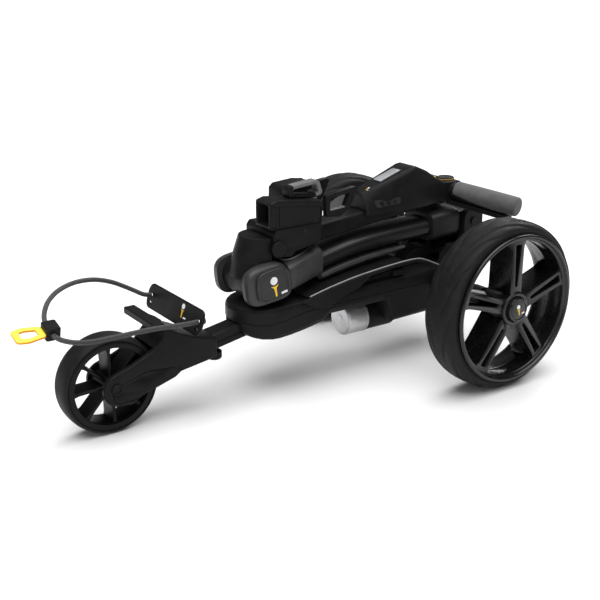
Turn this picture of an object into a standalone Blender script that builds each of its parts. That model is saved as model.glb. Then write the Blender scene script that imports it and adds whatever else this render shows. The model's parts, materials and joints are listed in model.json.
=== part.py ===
"""Folding electric golf trolley, modelled in its folded (stowed) state.

Units are metres.  +X is the trolley's left side, -Y its front (the single wheel), +Z is up.
Every coordinate below is written in the datum frame, whose origin is on the floor under the
rear axle; the datum empty then centres the whole trolley over the world origin.
"""
import math

import bmesh
import bpy
from mathutils import Matrix, Vector

# ---------------------------------------------------------------- driving dimensions
REAR_R = 0.150            # rear wheel radius
FRONT_R = 0.0820          # front wheel radius
WHEELBASE = 0.6450        # rear axle to front axle
GAP = 0.0003              # clearance between pieces that touch
AXLE_R = 0.006            # drive axle radius
WHEEL_IN = 0.187          # inner face of a rear tyre
WHEEL_OUT = 0.258         # outer face of a rear tyre
RIM_OUT = 0.265           # outer lip of a rear rim
BODY_W = 0.063            # half width of the chassis housing
NOSE_Y = -0.351           # centre of the housing's round front end
WALL = 0.003              # moulded wall thickness
WORM_DROP = 0.060         # worm axis below the drive axle
WORM_TEETH = 30           # teeth on the worm wheel, single-start worm
CORD_R = 0.004            # elastic cord radius

DATUM_Y = (WHEELBASE + FRONT_R - REAR_R) / 2

# Joint axes, in the datum frame
AXLE = Vector((0, 0, REAR_R))
FRONT_AXLE = Vector((0, -WHEELBASE, FRONT_R))
WORM = Vector((0, 0, REAR_R - WORM_DROP))
MAST_HINGE = Vector((0, 0.098, 0.246))
KNUCKLE = Vector((0, -0.371, 0.207))
LATCH = Vector((0, 0.1275, 0.1985))
DIAL = Vector((0, 0.066, 0.325))
POWER_BUTTON = Vector((0, 0.0360, 0.3240))
ARM_LEFT = Vector((0.041, -0.240, 0.322))
ARM_RIGHT = Vector((-0.041, -0.240, 0.322))

# Shaft centre line: height at a given y, and the tube's half sizes
SHAFT_SLOPE = 0.112
SHAFT_HW, SHAFT_HH = 0.024, 0.0155


def shaft_z(y):
    return 0.259 + SHAFT_SLOPE * (y + 0.33)


# ---------------------------------------------------------------- scene helpers
for old in list(bpy.data.objects):
    bpy.data.objects.remove(old, do_unlink=True)

MATERIALS = {
    "satin_black": ((0.020, 0.020, 0.021), 0.50, 0.0),
    "gloss_black": ((0.010, 0.010, 0.011), 0.16, 0.2),
    "satin_grey": ((0.050, 0.050, 0.053), 0.42, 0.2),
    "tyre_rubber": ((0.024, 0.024, 0.025), 0.75, 0.0),
    "grip_rubber": ((0.150, 0.150, 0.155), 0.80, 0.0),
    "motor_silver": ((0.640, 0.640, 0.640), 0.40, 0.7),
    "steel": ((0.450, 0.450, 0.460), 0.30, 1.0),
    "brass": ((0.600, 0.430, 0.180), 0.35, 1.0),
    "tag_yellow": ((0.850, 0.470, 0.020), 0.45, 0.0),
    "cord_black": ((0.030, 0.030, 0.032), 0.60, 0.0),
    "screen_glass": ((0.020, 0.022, 0.050), 0.08, 0.0),
    "board_green": ((0.020, 0.120, 0.060), 0.50, 0.0),
    "badge_silver": ((0.520, 0.530, 0.540), 0.30, 0.6),
}


def material(name):
    mat = bpy.data.materials.get(name)
    if mat is None:
        colour, rough, metal = MATERIALS[name]
        mat = bpy.data.materials.new(name)
        mat.use_nodes = True
        shader = mat.node_tree.nodes["Principled BSDF"]
        shader.inputs["Base Color"].default_value = (*colour, 1.0)
        shader.inputs["Roughness"].default_value = rough
        shader.inputs["Metallic"].default_value = metal
    return mat


def add_pivot(name, parent=None, at=(0, 0, 0)):
    """An empty on a joint's axis; `at` is in the datum frame."""
    empty = bpy.data.objects.new(name, None)
    bpy.context.scene.collection.objects.link(empty)
    empty["at"] = tuple(at)
    if parent is not None:
        empty.parent = parent
        empty.location = Vector(at) - Vector(parent["at"])
    return empty


def add_object(name, mesh, mat_name, pivot):
    """Link a mesh that is written in the datum frame, with its origin on the pivot."""
    mesh.transform(Matrix.Translation(-Vector(pivot["at"])))
    obj = bpy.data.objects.new(name, mesh)
    bpy.context.scene.collection.objects.link(obj)
    obj.parent = pivot
    if mat_name:
        mesh.materials.append(material(mat_name))
    return obj


def finish_mesh(bm, name, sharp=35.0):
    bmesh.ops.recalc_face_normals(bm, faces=bm.faces)
    mesh = bpy.data.meshes.new(name)
    bm.to_mesh(mesh)
    bm.free()
    mesh.shade_smooth()
    mesh.set_sharp_from_angle(angle=math.radians(sharp))
    return mesh


def cutter(name, mesh, pivot):
    obj = add_object(name, mesh, None, pivot)
    obj.hide_render = True
    obj.display_type = "WIRE"
    return obj


def boolean(obj, other, operation):
    mod = obj.modifiers.new(operation.lower(), "BOOLEAN")
    mod.operation = operation
    mod.object = other


def bevel(obj, width, segments=1, angle=35.0):
    mod = obj.modifiers.new("bevel", "BEVEL")
    mod.width = width
    mod.segments = segments
    mod.limit_method = "ANGLE"
    mod.angle_limit = math.radians(angle)


# ---------------------------------------------------------------- mesh builders
def skin_rings(bm, rings, closed=False):
    """Skin equal rings of points; the ends are capped unless the loft closes on itself."""
    loops = [[bm.verts.new(p) for p in ring] for ring in rings]
    pairs = list(zip(loops, loops[1:]))
    if closed:
        pairs.append((loops[-1], loops[0]))
    for low, high in pairs:
        for i in range(len(low)):
            j = (i + 1) % len(low)
            bm.faces.new((low[i], low[j], high[j], high[i]))
    if not closed:
        bm.faces.new(loops[0])
        bm.faces.new(loops[-1])


def loft(name, rings, closed=False, sharp=35.0):
    bm = bmesh.new()
    skin_rings(bm, rings, closed)
    return finish_mesh(bm, name, sharp)


def prism(name, outline, axis, low, high):
    """Extrude a 2-D outline along an axis; outline is (y, z) for X, (x, z) for Y, (x, y) for Z."""
    def point(p, h):
        return {"X": (h, p[0], p[1]), "Y": (p[0], h, p[1]), "Z": (p[0], p[1], h)}[axis]
    bm = bmesh.new()
    skin_rings(bm, [[point(p, low) for p in outline], [point(p, high) for p in outline]])
    return finish_mesh(bm, name)


def block(name, low, high):
    outline = [(low[0], low[1]), (high[0], low[1]), (high[0], high[1]), (low[0], high[1])]
    return prism(name, outline, "Z", low[2], high[2])


def turned(name, profile, axis, centre, segments=32, sharp=35.0):
    """Turn a closed (height, radius) profile about an axis; radius 0 lies on the axis."""
    centre = Vector(centre)
    bm = bmesh.new()
    columns = []
    for h, r in profile:
        if r == 0:
            columns.append([bm.verts.new(turned_point(axis, centre, h, 0, 0))])
            continue
        columns.append([
            bm.verts.new(turned_point(axis, centre, h, r, 2 * math.pi * i / segments))
            for i in range(segments)])
    count = len(columns)
    on_axis = [len(c) == 1 for c in columns]
    for k in range(count):
        a, b = columns[k], columns[(k + 1) % count]
        if on_axis[k] and on_axis[(k + 1) % count]:
            continue
        for i in range(segments):
            j = (i + 1) % segments
            if len(a) == 1:
                bm.faces.new((a[0], b[i], b[j]))
            elif len(b) == 1:
                bm.faces.new((a[i], a[j], b[0]))
            else:
                bm.faces.new((a[i], a[j], b[j], b[i]))
    return finish_mesh(bm, name, sharp)


def turned_point(axis, centre, h, r, angle):
    u, v = r * math.cos(angle), r * math.sin(angle)
    if axis == "X":
        return centre + Vector((h, u, v))
    if axis == "Y":
        return centre + Vector((u, h, v))
    return centre + Vector((u, v, h))


def rod(name, axis, centre, radius, low, high, segments=20):
    return turned(name, [(low, 0), (low, radius), (high, radius), (high, 0)],
                  axis, centre, segments)


def tube(name, axis, centre, outer, inner, low, high, segments=24):
    return turned(name, [(low, inner), (low, outer), (high, outer), (high, inner)],
                  axis, centre, segments)


def arc(centre, radius, start, end, steps):
    """Points on a circular arc, in degrees, both ends included."""
    return [(centre[0] + radius * math.cos(math.radians(start + (end - start) * i / steps)),
             centre[1] + radius * math.sin(math.radians(start + (end - start) * i / steps)))
            for i in range(steps + 1)]


def oval_ring(y, z, half_w, half_h, power=2.0, count=20):
    """Superellipse ring across X and Z at a given y."""
    ring = []
    for i in range(count):
        t = 2 * math.pi * i / count
        c, s = math.cos(t), math.sin(t)
        ring.append((half_w * math.copysign(abs(c) ** (2 / power), c), y,
                     z + half_h * math.copysign(abs(s) ** (2 / power), s)))
    return ring


def hollow_loft(name, stations, wall, power=2.0, count=20):
    """Hollow tube through stations of (y, z, half width, half height)."""
    outer = [oval_ring(y, z, w, h, power, count) for y, z, w, h in stations]
    inner = [oval_ring(y, z, w - wall, h - wall, power, count) for y, z, w, h in reversed(stations)]
    return loft(name, outer + inner, closed=True)


def interpolate(table, y):
    """Straight-line interpolation in a table of (y, value) pairs."""
    if y <= table[0][0]:
        return table[0][1]
    for (y0, v0), (y1, v1) in zip(table, table[1:]):
        if y <= y1:
            return v0 + (v1 - v0) * (y - y0) / (y1 - y0)
    return table[-1][1]


# ---------------------------------------------------------------- pivots
datum = add_pivot("datum")
datum.location = (0, DATUM_Y, 0)
chassis = add_pivot("chassis_frame", datum)
rear_axle = add_pivot("rear_axle_pivot", chassis, AXLE)
front_axle = add_pivot("front_axle_pivot", chassis, FRONT_AXLE)
worm_pivot = add_pivot("worm_pivot", chassis, WORM)
mast = add_pivot("mast_pivot", chassis, MAST_HINGE)
latch_pivot = add_pivot("latch_pivot", chassis, LATCH)
shaft = add_pivot("knuckle_pivot", mast, KNUCKLE)
dial_pivot = add_pivot("dial_pivot", shaft, DIAL)
button_pivot = add_pivot("power_button_pivot", shaft, POWER_BUTTON)
arm_pivots = {"left": add_pivot("arm_left_pivot", shaft, ARM_LEFT),
              "right": add_pivot("arm_right_pivot", shaft, ARM_RIGHT)}

# ---------------------------------------------------------------- chassis housing
SIDE_BOTTOM = [(-0.412, 0.124), (-0.395, 0.112), (-0.372, 0.107), (-0.340, 0.107),
               (-0.300, 0.112), (-0.262, 0.119), (-0.250, 0.130), (-0.118, 0.130),
               (-0.104, 0.087), (0.050, 0.090), (0.072, 0.110)]
SEAM = [(-0.412, 0.140), (-0.375, 0.136), (-0.333, 0.142), (-0.300, 0.148),
        (-0.250, 0.150), (0.072, 0.150)]
COVER_TOP = [(-0.412, 0.166), (-0.330, 0.168), (-0.200, 0.171), (0.072, 0.174)]
HOUSING_REAR = 0.072


def housing_plan(inset):
    """Plan outline: a half circle at the front and straight sides, left and right in pairs."""
    half = BODY_W - inset
    left = [(half * math.sin(math.radians(a)), NOSE_Y - half * math.cos(math.radians(a)))
            for a in (8, 25, 42, 59, 76, 90)]
    left += [(half, y) for y in (-0.330, -0.300, -0.262, -0.250, -0.190, -0.118, -0.104,
                                 -0.060, 0.000, 0.050)]
    left.append((half, HOUSING_REAR - inset))
    right = [(-x, y) for x, y in reversed(left)]
    return left + right


def housing_shell(name, levels):
    """Skin levels of (inset, height function) into one cup; the caps are strips left to right."""
    bm = bmesh.new()
    loops = []
    for inset, height in levels:
        loops.append([bm.verts.new((x, y, height(y))) for x, y in housing_plan(inset)])
    n = len(loops[0])
    for low, high in zip(loops, loops[1:]):
        for i in range(n):
            j = (i + 1) % n
            bm.faces.new((low[i], low[j], high[j], high[i]))
    for loop in (loops[0], loops[-1]):
        for i in range(n // 2 - 1):
            bm.faces.new((loop[i], loop[i + 1], loop[n - 2 - i], loop[n - 1 - i]))
    return finish_mesh(bm, name)


def bottom(offset):
    return lambda y: interpolate(SIDE_BOTTOM, y) + offset


def seam(offset):
    return lambda y: interpolate(SEAM, y) + offset


def cover_top(offset):
    return lambda y: interpolate(COVER_TOP, y) + offset


chassis_tub = add_object("chassis_tub", housing_shell("chassis_tub", [
    (0.012, bottom(0.0)), (0.004, bottom(0.003)), (0.0008, bottom(0.011)), (0.0008, seam(0.0)),
    (WALL, seam(0.0)), (WALL + 0.001, bottom(0.011)), (0.014, bottom(WALL))]),
    "satin_black", chassis)
chassis_cover = add_object("chassis_cover", housing_shell("chassis_cover", [
    (0.0, seam(GAP)), (0.0, cover_top(-0.008)), (0.003, cover_top(-0.0025)),
    (0.010, cover_top(0.0))]), "satin_black", chassis)
cover_hollow = cutter("cover_hollow", housing_shell("cover_hollow", [
    (WALL, seam(-0.010)), (WALL, cover_top(-0.010)), (0.012, cover_top(-WALL))]), chassis)
boolean(chassis_cover, cover_hollow, "DIFFERENCE")

battery_bay = cutter("battery_bay", block("battery_bay", (-0.0535, -0.3055, 0.140),
                                          (0.0535, -0.0745, 0.200)), chassis)
gear_bay = cutter("gear_bay", block("gear_bay", (-0.0185, -0.058, 0.060),
                                    (0.0185, 0.058, 0.230)), chassis)
motor_bay = cutter("motor_bay", rod("motor_bay", "Y", WORM, 0.0315, -0.200, 0.045, 24), chassis)
nose_hole = cutter("nose_hole", prism("nose_hole", [(-0.0195, 0.1075), (0.0195, 0.1075),
                                                    (0.0195, 0.1365), (-0.0195, 0.1365)],
                                      "Y", -0.430, -0.380), chassis)
axle_hole = cutter("axle_hole", rod("axle_hole", "X", AXLE, 0.0165, -0.080, 0.080, 20), chassis)
for piece, tools in ((chassis_tub, (gear_bay, motor_bay, nose_hole, axle_hole)),
                     (chassis_cover, (battery_bay, gear_bay, axle_hole))):
    for tool in tools:
        boolean(piece, tool, "DIFFERENCE")

# ---------------------------------------------------------------- battery
LID_LINE = [(-0.313, 0.1690), (-0.250, 0.1825), (-0.190, 0.1920), (-0.110, 0.1990),
            (-0.060, 0.2005)]


def lid_z(y):
    return interpolate(LID_LINE, y)


battery_outline = ([(-0.302, 0.119), (-0.266, 0.125), (-0.264, 0.1375), (-0.078, 0.1375)]
                   + [(y, lid_z(y) - 0.0045) for y in (-0.078, -0.110, -0.190, -0.250, -0.292)]
                   + [(-0.302, 0.1600)])
battery_pack = add_object("battery_pack", prism("battery_pack", battery_outline, "X",
                                                -0.051, 0.051), "satin_black", chassis)
bevel(battery_pack, 0.002)

skirt_outline = ([(y, lid_z(y)) for y, _ in LID_LINE]
                 + [(-0.036, 0.195), (0.010, 0.174), (0.010, 0.171), (-0.036, 0.191),
                    (-0.060, 0.196), (-0.110, 0.194), (-0.165, 0.188), (-0.190, 0.171),
                    (-0.229, 0.161), (-0.253, 0.149), (-0.277, 0.151)])
plate_outline = ([(y, lid_z(y) - 0.0005) for y in (-0.294, -0.250, -0.190, -0.110, -0.076)]
                 + [(y, lid_z(y) - 0.0040) for y in (-0.076, -0.110, -0.190, -0.250, -0.294)])
battery_lid = add_object("battery_lid", prism("battery_lid", plate_outline, "X",
                                              -0.0665, 0.0665), "satin_black", chassis)
for side in (-1, 1):
    skirt = cutter("lid_skirt", prism("lid_skirt", skirt_outline, "X", side * 0.0645,
                                      side * 0.0685), chassis)
    boolean(battery_lid, skirt, "UNION")

battery_connector = add_object("battery_connector", block(
    "battery_connector", (0.0515, -0.104, 0.1745), (0.0605, -0.080, 0.1865)),
    "satin_black", chassis)
bevel(battery_connector, 0.0012)

# ---------------------------------------------------------------- motor and gearbox
motor_can = add_object("motor_can", turned("motor_can", [
    (-0.181, 0.0), (-0.181, 0.026), (-0.177, 0.030), (-0.140, 0.030), (-0.140, 0.0275),
    (-0.177, 0.0265), (-0.177, 0.0)], "Y", WORM), "motor_silver", chassis)
motor_end_ring = add_object("motor_end_ring", tube("motor_end_ring", "Y", WORM, 0.0306, 0.0050,
                                                   -0.1397, -0.1350, 32), "motor_silver", chassis)
gearbox_case = add_object("gearbox_case", rod("gearbox_case", "X", AXLE, 0.0535,
                                              -0.0165, 0.0165, 40), "satin_black", chassis)
case_parts = (
    ("case_worm_tunnel", rod("case_worm_tunnel", "Y", WORM, 0.0150, -0.080, 0.036, 24), "UNION"),
    ("case_motor_flange", rod("case_motor_flange", "Y", WORM, 0.0295, -0.1347, -0.072, 32), "UNION"),
    ("case_gear_room", rod("case_gear_room", "X", AXLE, 0.0505, -0.0135, 0.0135, 40), "DIFFERENCE"),
    ("case_worm_room", rod("case_worm_room", "Y", WORM, 0.0118, -0.066, 0.033, 20), "DIFFERENCE"),
    ("case_shaft_hole", rod("case_shaft_hole", "Y", WORM, 0.0050, -0.140, -0.060, 16), "DIFFERENCE"),
    ("case_axle_hole", rod("case_axle_hole", "X", AXLE, 0.0068, -0.030, 0.030, 20), "DIFFERENCE"),
)
for part_name, part_mesh, operation in case_parts:
    boolean(gearbox_case, cutter(part_name, part_mesh, chassis), operation)


def worm_mesh():
    """Motor shaft with a rotor at one end and one helical thread at the other, as one skin."""
    pitch, core, crest = 0.0100, 0.0078, 0.0100
    segments, rings_per_turn, turns = 10, 6, 4
    plain = [(-0.173, 0.0035), (-0.172, 0.0220), (-0.145, 0.0220), (-0.144, 0.0040),
             (-0.060, 0.0040), (-0.026, 0.0040)]
    rings = [[turned_point("Y", WORM, y, r, 2 * math.pi * i / segments) for i in range(segments)]
             for y, r in plain]
    steps = rings_per_turn * turns
    for k in range(steps + 1):
        y = -0.020 + pitch * turns * k / steps
        ring = []
        for i in range(segments):
            angle = 2 * math.pi * i / segments
            wave = 0.5 + 0.5 * math.cos(angle - 2 * math.pi * k / rings_per_turn)
            ring.append(turned_point("Y", WORM, y, core + (crest - core) * wave, angle))
        rings.append(ring)
    rings.append([turned_point("Y", WORM, 0.026, 0.0040, 2 * math.pi * i / segments)
                  for i in range(segments)])
    return loft("motor_worm", rings)


add_object("motor_worm", worm_mesh(), "steel", worm_pivot)


def worm_wheel_mesh():
    """Gear disc: teeth as a closed outline with a bore through it."""
    outline = []
    root, tip = 0.0455, 0.0492
    for i in range(WORM_TEETH):
        step = 360 / WORM_TEETH
        for fraction, radius in ((0.0, root), (0.22, root), (0.38, tip), (0.62, tip), (0.78, root)):
            angle = math.radians(step * (i + fraction))
            outline.append((radius * math.cos(angle), REAR_R + radius * math.sin(angle)))
    return prism("worm_wheel", outline, "X", -0.0080, 0.0080)


worm_wheel = add_object("worm_wheel", worm_wheel_mesh(), "brass", rear_axle)
boolean(worm_wheel, cutter("worm_wheel_bore", rod("worm_wheel_bore", "X", AXLE, AXLE_R + GAP,
                                                  -0.02, 0.02, 20), rear_axle), "DIFFERENCE")
add_object("drive_axle", rod("drive_axle", "X", AXLE, AXLE_R, -0.2485, 0.2485), "steel", rear_axle)

# ---------------------------------------------------------------- rear wheels
TYRE_PROFILE = [(WHEEL_IN + 0.004, 0.1290), (WHEEL_IN, 0.1370), (WHEEL_IN + 0.002, 0.1440),
                (WHEEL_IN + 0.008, 0.1485), (WHEEL_IN + 0.016, REAR_R), (WHEEL_OUT - 0.016, REAR_R),
                (WHEEL_OUT - 0.008, 0.1485), (WHEEL_OUT - 0.002, 0.1440), (WHEEL_OUT, 0.1370),
                (WHEEL_OUT, 0.1290)]
RIM_PROFILE = [(0.1890, 0.1235), (0.1890, 0.1285), (WHEEL_OUT + GAP, 0.1285),
               (WHEEL_OUT + 0.0006, 0.1310), (RIM_OUT, 0.1300), (RIM_OUT + 0.001, 0.1260),
               (0.2610, 0.1205), (0.2500, 0.1190), (0.2000, 0.1215)]
SPOKES = 5
WHEEL_SEGMENTS = 36
SPOKE_START = 90.0


def mirrored(profile, side):
    return [(side * h, r) for h, r in profile]


def spoke_mesh(name, low, high, half_in, half_out, r_in, r_out):
    """Five tapering radial prisms in one mesh, between two x positions."""
    bm = bmesh.new()
    for k in range(SPOKES):
        angle = math.radians(SPOKE_START + 360 * k / SPOKES)
        along = Vector((0, math.cos(angle), math.sin(angle)))
        across = Vector((0, -math.sin(angle), math.cos(angle)))
        corners = [(r_in, -half_in), (r_out, -half_out), (r_out, half_out), (r_in, half_in)]
        rings = [[AXLE + along * r + across * w + Vector((x, 0, 0)) for r, w in corners]
                 for x in (low, high)]
        skin_rings(bm, rings)
    return finish_mesh(bm, name)


for side_name, side in (("left", 1), ("right", -1)):
    add_object(f"rear_tyre_{side_name}",
               turned(f"rear_tyre_{side_name}", mirrored(TYRE_PROFILE, side), "X", AXLE, WHEEL_SEGMENTS),
               "tyre_rubber", rear_axle)
    rim = add_object(f"rear_rim_{side_name}",
                     turned(f"rear_rim_{side_name}", mirrored(RIM_PROFILE, side), "X", AXLE, WHEEL_SEGMENTS),
                     "satin_black", rear_axle)
    rim_parts = (
        ("spokes", spoke_mesh("spokes", side * 0.2060, side * 0.2585, 0.0120, 0.0180,
                              0.024, 0.1225), "UNION"),
        ("hub", rod("hub", "X", AXLE, 0.0300, side * 0.2040, side * 0.2620, 32), "UNION"),
        ("spoke_slots", spoke_mesh("spoke_slots", side * 0.195, side * 0.270, 0.0040, 0.0085,
                                   0.040, 0.1150), "DIFFERENCE"),
        ("hub_cup", rod("hub_cup", "X", AXLE, 0.0222, side * 0.2500, side * 0.270, 24),
         "DIFFERENCE"),
        ("hub_bore", rod("hub_bore", "X", AXLE, AXLE_R + GAP, side * 0.200, side * 0.270, 20),
         "DIFFERENCE"),
    )
    for part_name, part_mesh, operation in rim_parts:
        boolean(rim, cutter(f"{part_name}_{side_name}", part_mesh, rear_axle), operation)
    cap_pivot = add_pivot(f"wheel_button_{side_name}_pivot", rear_axle, AXLE + Vector((side * 0.2600, 0, 0)))
    add_object(f"wheel_button_{side_name}", turned(f"wheel_button_{side_name}", mirrored(
        [(0.2540, 0.0), (0.2540, 0.0215), (0.2660, 0.0215), (0.2680, 0.0195), (0.2690, 0.0)],
        side), "X", AXLE, 28), "gloss_black", cap_pivot)
    add_object(f"axle_tube_{side_name}", turned(f"axle_tube_{side_name}", mirrored(
        [(0.0170, 0.0110), (0.0170, 0.0160), (0.1500, 0.0160), (0.1620, 0.0180),
         (0.1840, 0.0180), (0.1840, 0.0110)], side), "X", AXLE, 24), "satin_black", chassis)
    add_object(f"axle_bearing_{side_name}", tube(
        f"axle_bearing_{side_name}", "X", AXLE, 0.0107, AXLE_R + GAP,
        side * 0.172, side * 0.183), "steel", chassis)

# ---------------------------------------------------------------- lower tube, fork, front wheel
TUBE_SLOPE = 0.174


def tube_z(y):
    return 0.122 + TUBE_SLOPE * (y + 0.4025)


def lower_tube_ring(y, grow=0.0):
    """Rounded box section with a shallow groove along each side."""
    w, h, c, g = 0.019 + grow, 0.0140 + grow, 0.003, 0.0015 - grow
    side = [(w - c, -h), (w, -h + c), (w, -0.003), (w - g, -0.0015), (w - g, 0.0015),
            (w, 0.003), (w, h - c), (w - c, h)]
    points = side + [(-x, -z) for x, z in side]
    return [(x, y, tube_z(y) + z) for x, z in points]


lower_tube = add_object("lower_tube", loft("lower_tube", [
    lower_tube_ring(-0.500), lower_tube_ring(-0.388)]), "satin_black", chassis)
lower_tube_room = cutter("lower_tube_room", loft("lower_tube_room", [
    lower_tube_ring(-0.5005, GAP), lower_tube_ring(-0.380, GAP)]), chassis)

FORK_OUTLINE = (arc((-0.638, 0.0785), 0.0280, 110, 275, 10)
                + [(-0.6180, 0.0490), (-0.5920, 0.0630), (-0.5760, 0.0665), (-0.5400, 0.0770),
                   (-0.5290, 0.0845), (-0.4880, 0.0905), (-0.4620, 0.0945), (-0.4620, 0.1290),
                   (-0.5030, 0.1400), (-0.5480, 0.1610), (-0.5560, 0.1640), (-0.5620, 0.1500),
                   (-0.5790, 0.1310), (-0.6180, 0.1140)])
fork = add_object("fork", prism("fork", FORK_OUTLINE, "X", -0.038, 0.038), "satin_black", chassis)
bevel(fork, 0.003)
fork_parts = (
    ("fork_wheel_room", rod("fork_wheel_room", "X", FRONT_AXLE, FRONT_R + 0.0050,
                            -0.0280, 0.0280, WHEEL_SEGMENTS)),
    ("fork_axle_bore", rod("fork_axle_bore", "X", FRONT_AXLE, 0.0053, -0.050, 0.050, 16)),
)
for part_name, part_mesh in fork_parts:
    boolean(fork, cutter(part_name, part_mesh, chassis), "DIFFERENCE")
boolean(fork, lower_tube_room, "DIFFERENCE")

add_object("front_axle_bolt", turned("front_axle_bolt", [
    (-0.0440, 0.0), (-0.0440, 0.0085), (-0.0384, 0.0085), (-0.0384, 0.0050), (0.0384, 0.0050),
    (0.0384, 0.0105), (0.0425, 0.0105), (0.0440, 0.0085), (0.0440, 0.0)],
    "X", FRONT_AXLE, 20), "steel", chassis)
add_object("front_tyre", turned("front_tyre", [
    (-0.0200, 0.0700), (-0.0213, 0.0750), (-0.0238, 0.0752), (-0.0222, 0.0783),
    (-0.0175, 0.0808), (-0.0090, FRONT_R), (0.0090, FRONT_R), (0.0175, 0.0808),
    (0.0222, 0.0783), (0.0238, 0.0752), (0.0213, 0.0750), (0.0200, 0.0700)],
    "X", FRONT_AXLE, WHEEL_SEGMENTS), "tyre_rubber", front_axle)
front_rim = add_object("front_rim", turned("front_rim", [
    (-0.0235, 0.0645), (-0.0235, 0.0735), (-0.0217, 0.0745), (-0.0204, 0.0695),
    (0.0204, 0.0695), (0.0217, 0.0745), (0.0235, 0.0735), (0.0235, 0.0645)],
    "X", FRONT_AXLE, WHEEL_SEGMENTS), "satin_black", front_axle)


def blade_mesh(name, count, half, r_in, r_out, half_x):
    """Radial blades of a spoked wheel, all in one mesh."""
    bm = bmesh.new()
    for k in range(count):
        angle = math.radians(92 + 360 * k / count)
        along = Vector((0, math.cos(angle), math.sin(angle)))
        across = Vector((0, -math.sin(angle), math.cos(angle)))
        rings = [[FRONT_AXLE + along * r + across * w + Vector((x, 0, 0))
                  for r, w in ((r_in, -half), (r_out, -half), (r_out, half), (r_in, half))]
                 for x in (-half_x, half_x)]
        skin_rings(bm, rings)
    return finish_mesh(bm, name)


front_rim_parts = (
    ("front_blades", blade_mesh("front_blades", 8, 0.0024, 0.010, 0.0665, 0.0190), "UNION"),
    ("front_hub", rod("front_hub", "X", FRONT_AXLE, 0.0150, -0.0250, 0.0250, 24), "UNION"),
    ("front_bore", rod("front_bore", "X", FRONT_AXLE, 0.0053, -0.040, 0.040, 16), "DIFFERENCE"),
)
for part_name, part_mesh, operation in front_rim_parts:
    boolean(front_rim, cutter(part_name, part_mesh, front_axle), operation)

tracking_knob = add_object("tracking_knob", turned("tracking_knob", [
    (0.0765, 0.0), (0.0765, 0.0110), (0.0790, 0.0130), (0.0900, 0.0130), (0.0930, 0.0080),
    (0.0930, 0.0)], "Z", (0, -0.447, 0), 20), "satin_black", chassis)

# ---------------------------------------------------------------- lower bag support
BRACKET_HALF = 0.092


def bracket_ring(x, thick_low, thick_high):
    """Section of the flat plate, which leans back; its ends are rounded."""
    corner = 0.009 * max(0.0, (abs(x) - 0.078) / (BRACKET_HALF - 0.078)) ** 2
    low, high = (-0.5275, 0.1600 + corner), (-0.5140, 0.2000 - corner)
    return [(x, low[0] + thick_low, low[1]), (x, low[0] + thick_high, low[1]),
            (x, high[0] + thick_high, high[1]), (x, high[0] + thick_low, high[1])]


bracket_xs = [BRACKET_HALF * i / 8 for i in range(-8, 9)]
lower_bag_bracket = add_object("lower_bag_bracket", loft("lower_bag_bracket", [
    bracket_ring(x, 0.0, 0.0040) for x in bracket_xs]), "satin_black", chassis)
SLOT_X, SLOT_Y, SLOT_Z = 0.0800, -0.5270, 0.1820
for side in (-1, 1):
    slot = rod("cord_slot", "Y", (side * SLOT_X, 0, SLOT_Z), CORD_R + 0.0028, -0.560, -0.500, 12)
    boolean(lower_bag_bracket, cutter("cord_slot", slot, chassis), "DIFFERENCE")
foot_stem = cutter("foot_stem", prism("foot_stem", [
    (-0.580, 0.1720), (-0.562, 0.1655), (-0.552, 0.1645), (-0.548, 0.1700), (-0.562, 0.1780)],
    "X", -0.012, 0.012), chassis)
bag_foot_bar = add_object("bag_foot_bar", block("bag_foot_bar", (-0.053, -0.585, 0.1700),
                                                (0.053, -0.565, 0.1820)), "satin_black", chassis)
boolean(bag_foot_bar, foot_stem, "UNION")
bevel(bag_foot_bar, 0.0025)

# ---------------------------------------------------------------- elastic cord, clamp and tag
# Route chosen by hand: out of the right slot, round in front of the wheel, into the left slot.
CORD_ROUTE = [
    (-0.0800, -0.5200, 0.1820), (-0.0830, -0.5340, 0.1850), (-0.0960, -0.5540, 0.1960),
    (-0.1060, -0.5800, 0.2090), (-0.1060, -0.6120, 0.2190), (-0.0970, -0.6480, 0.2230),
    (-0.0800, -0.6820, 0.2210), (-0.0590, -0.7080, 0.2140), (-0.0330, -0.7260, 0.2040),
    (-0.0090, -0.7330, 0.1964), (0.0250, -0.7330, 0.1866), (0.0460, -0.7190, 0.1820),
    (0.0610, -0.6950, 0.1810), (0.0690, -0.6600, 0.1830), (0.0740, -0.6200, 0.1850),
    (0.0780, -0.5800, 0.1850), (0.0800, -0.5500, 0.1830), (0.0800, -0.5200, 0.1820),
]
CLAMP = Vector((0.0080, -0.7330, 0.1915))
CLAMP_TILT = 16.0


def catmull(points, steps):
    """Smooth curve through the route's points."""
    pts = [Vector(p) for p in points]
    pts = [2 * pts[0] - pts[1]] + pts + [2 * pts[-1] - pts[-2]]
    smooth = []
    for a, b, c, d in zip(pts, pts[1:], pts[2:], pts[3:]):
        for k in range(steps):
            t = k / steps
            smooth.append(0.5 * (2 * b + (c - a) * t + (2 * a - 5 * b + 4 * c - d) * t * t
                                 + (3 * b - a - 3 * c + d) * t ** 3))
    smooth.append(pts[-2])
    return smooth


def cord_curve(name, points, radius, pivot):
    curve = bpy.data.curves.new(name, "CURVE")
    curve.dimensions = "3D"
    curve.bevel_depth = radius
    curve.bevel_resolution = 2
    curve.use_fill_caps = True
    spline = curve.splines.new("POLY")
    spline.points.add(len(points) - 1)
    for slot_point, p in zip(spline.points, points):
        slot_point.co = (*(p - Vector(pivot["at"])), 1.0)
    curve.materials.append(material("cord_black"))
    obj = bpy.data.objects.new(name, curve)
    bpy.context.scene.collection.objects.link(obj)
    obj.parent = pivot
    return obj


cord_points = catmull(CORD_ROUTE, 2)
cord_curve("bungee_cord", cord_points, CORD_R, chassis)


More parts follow.
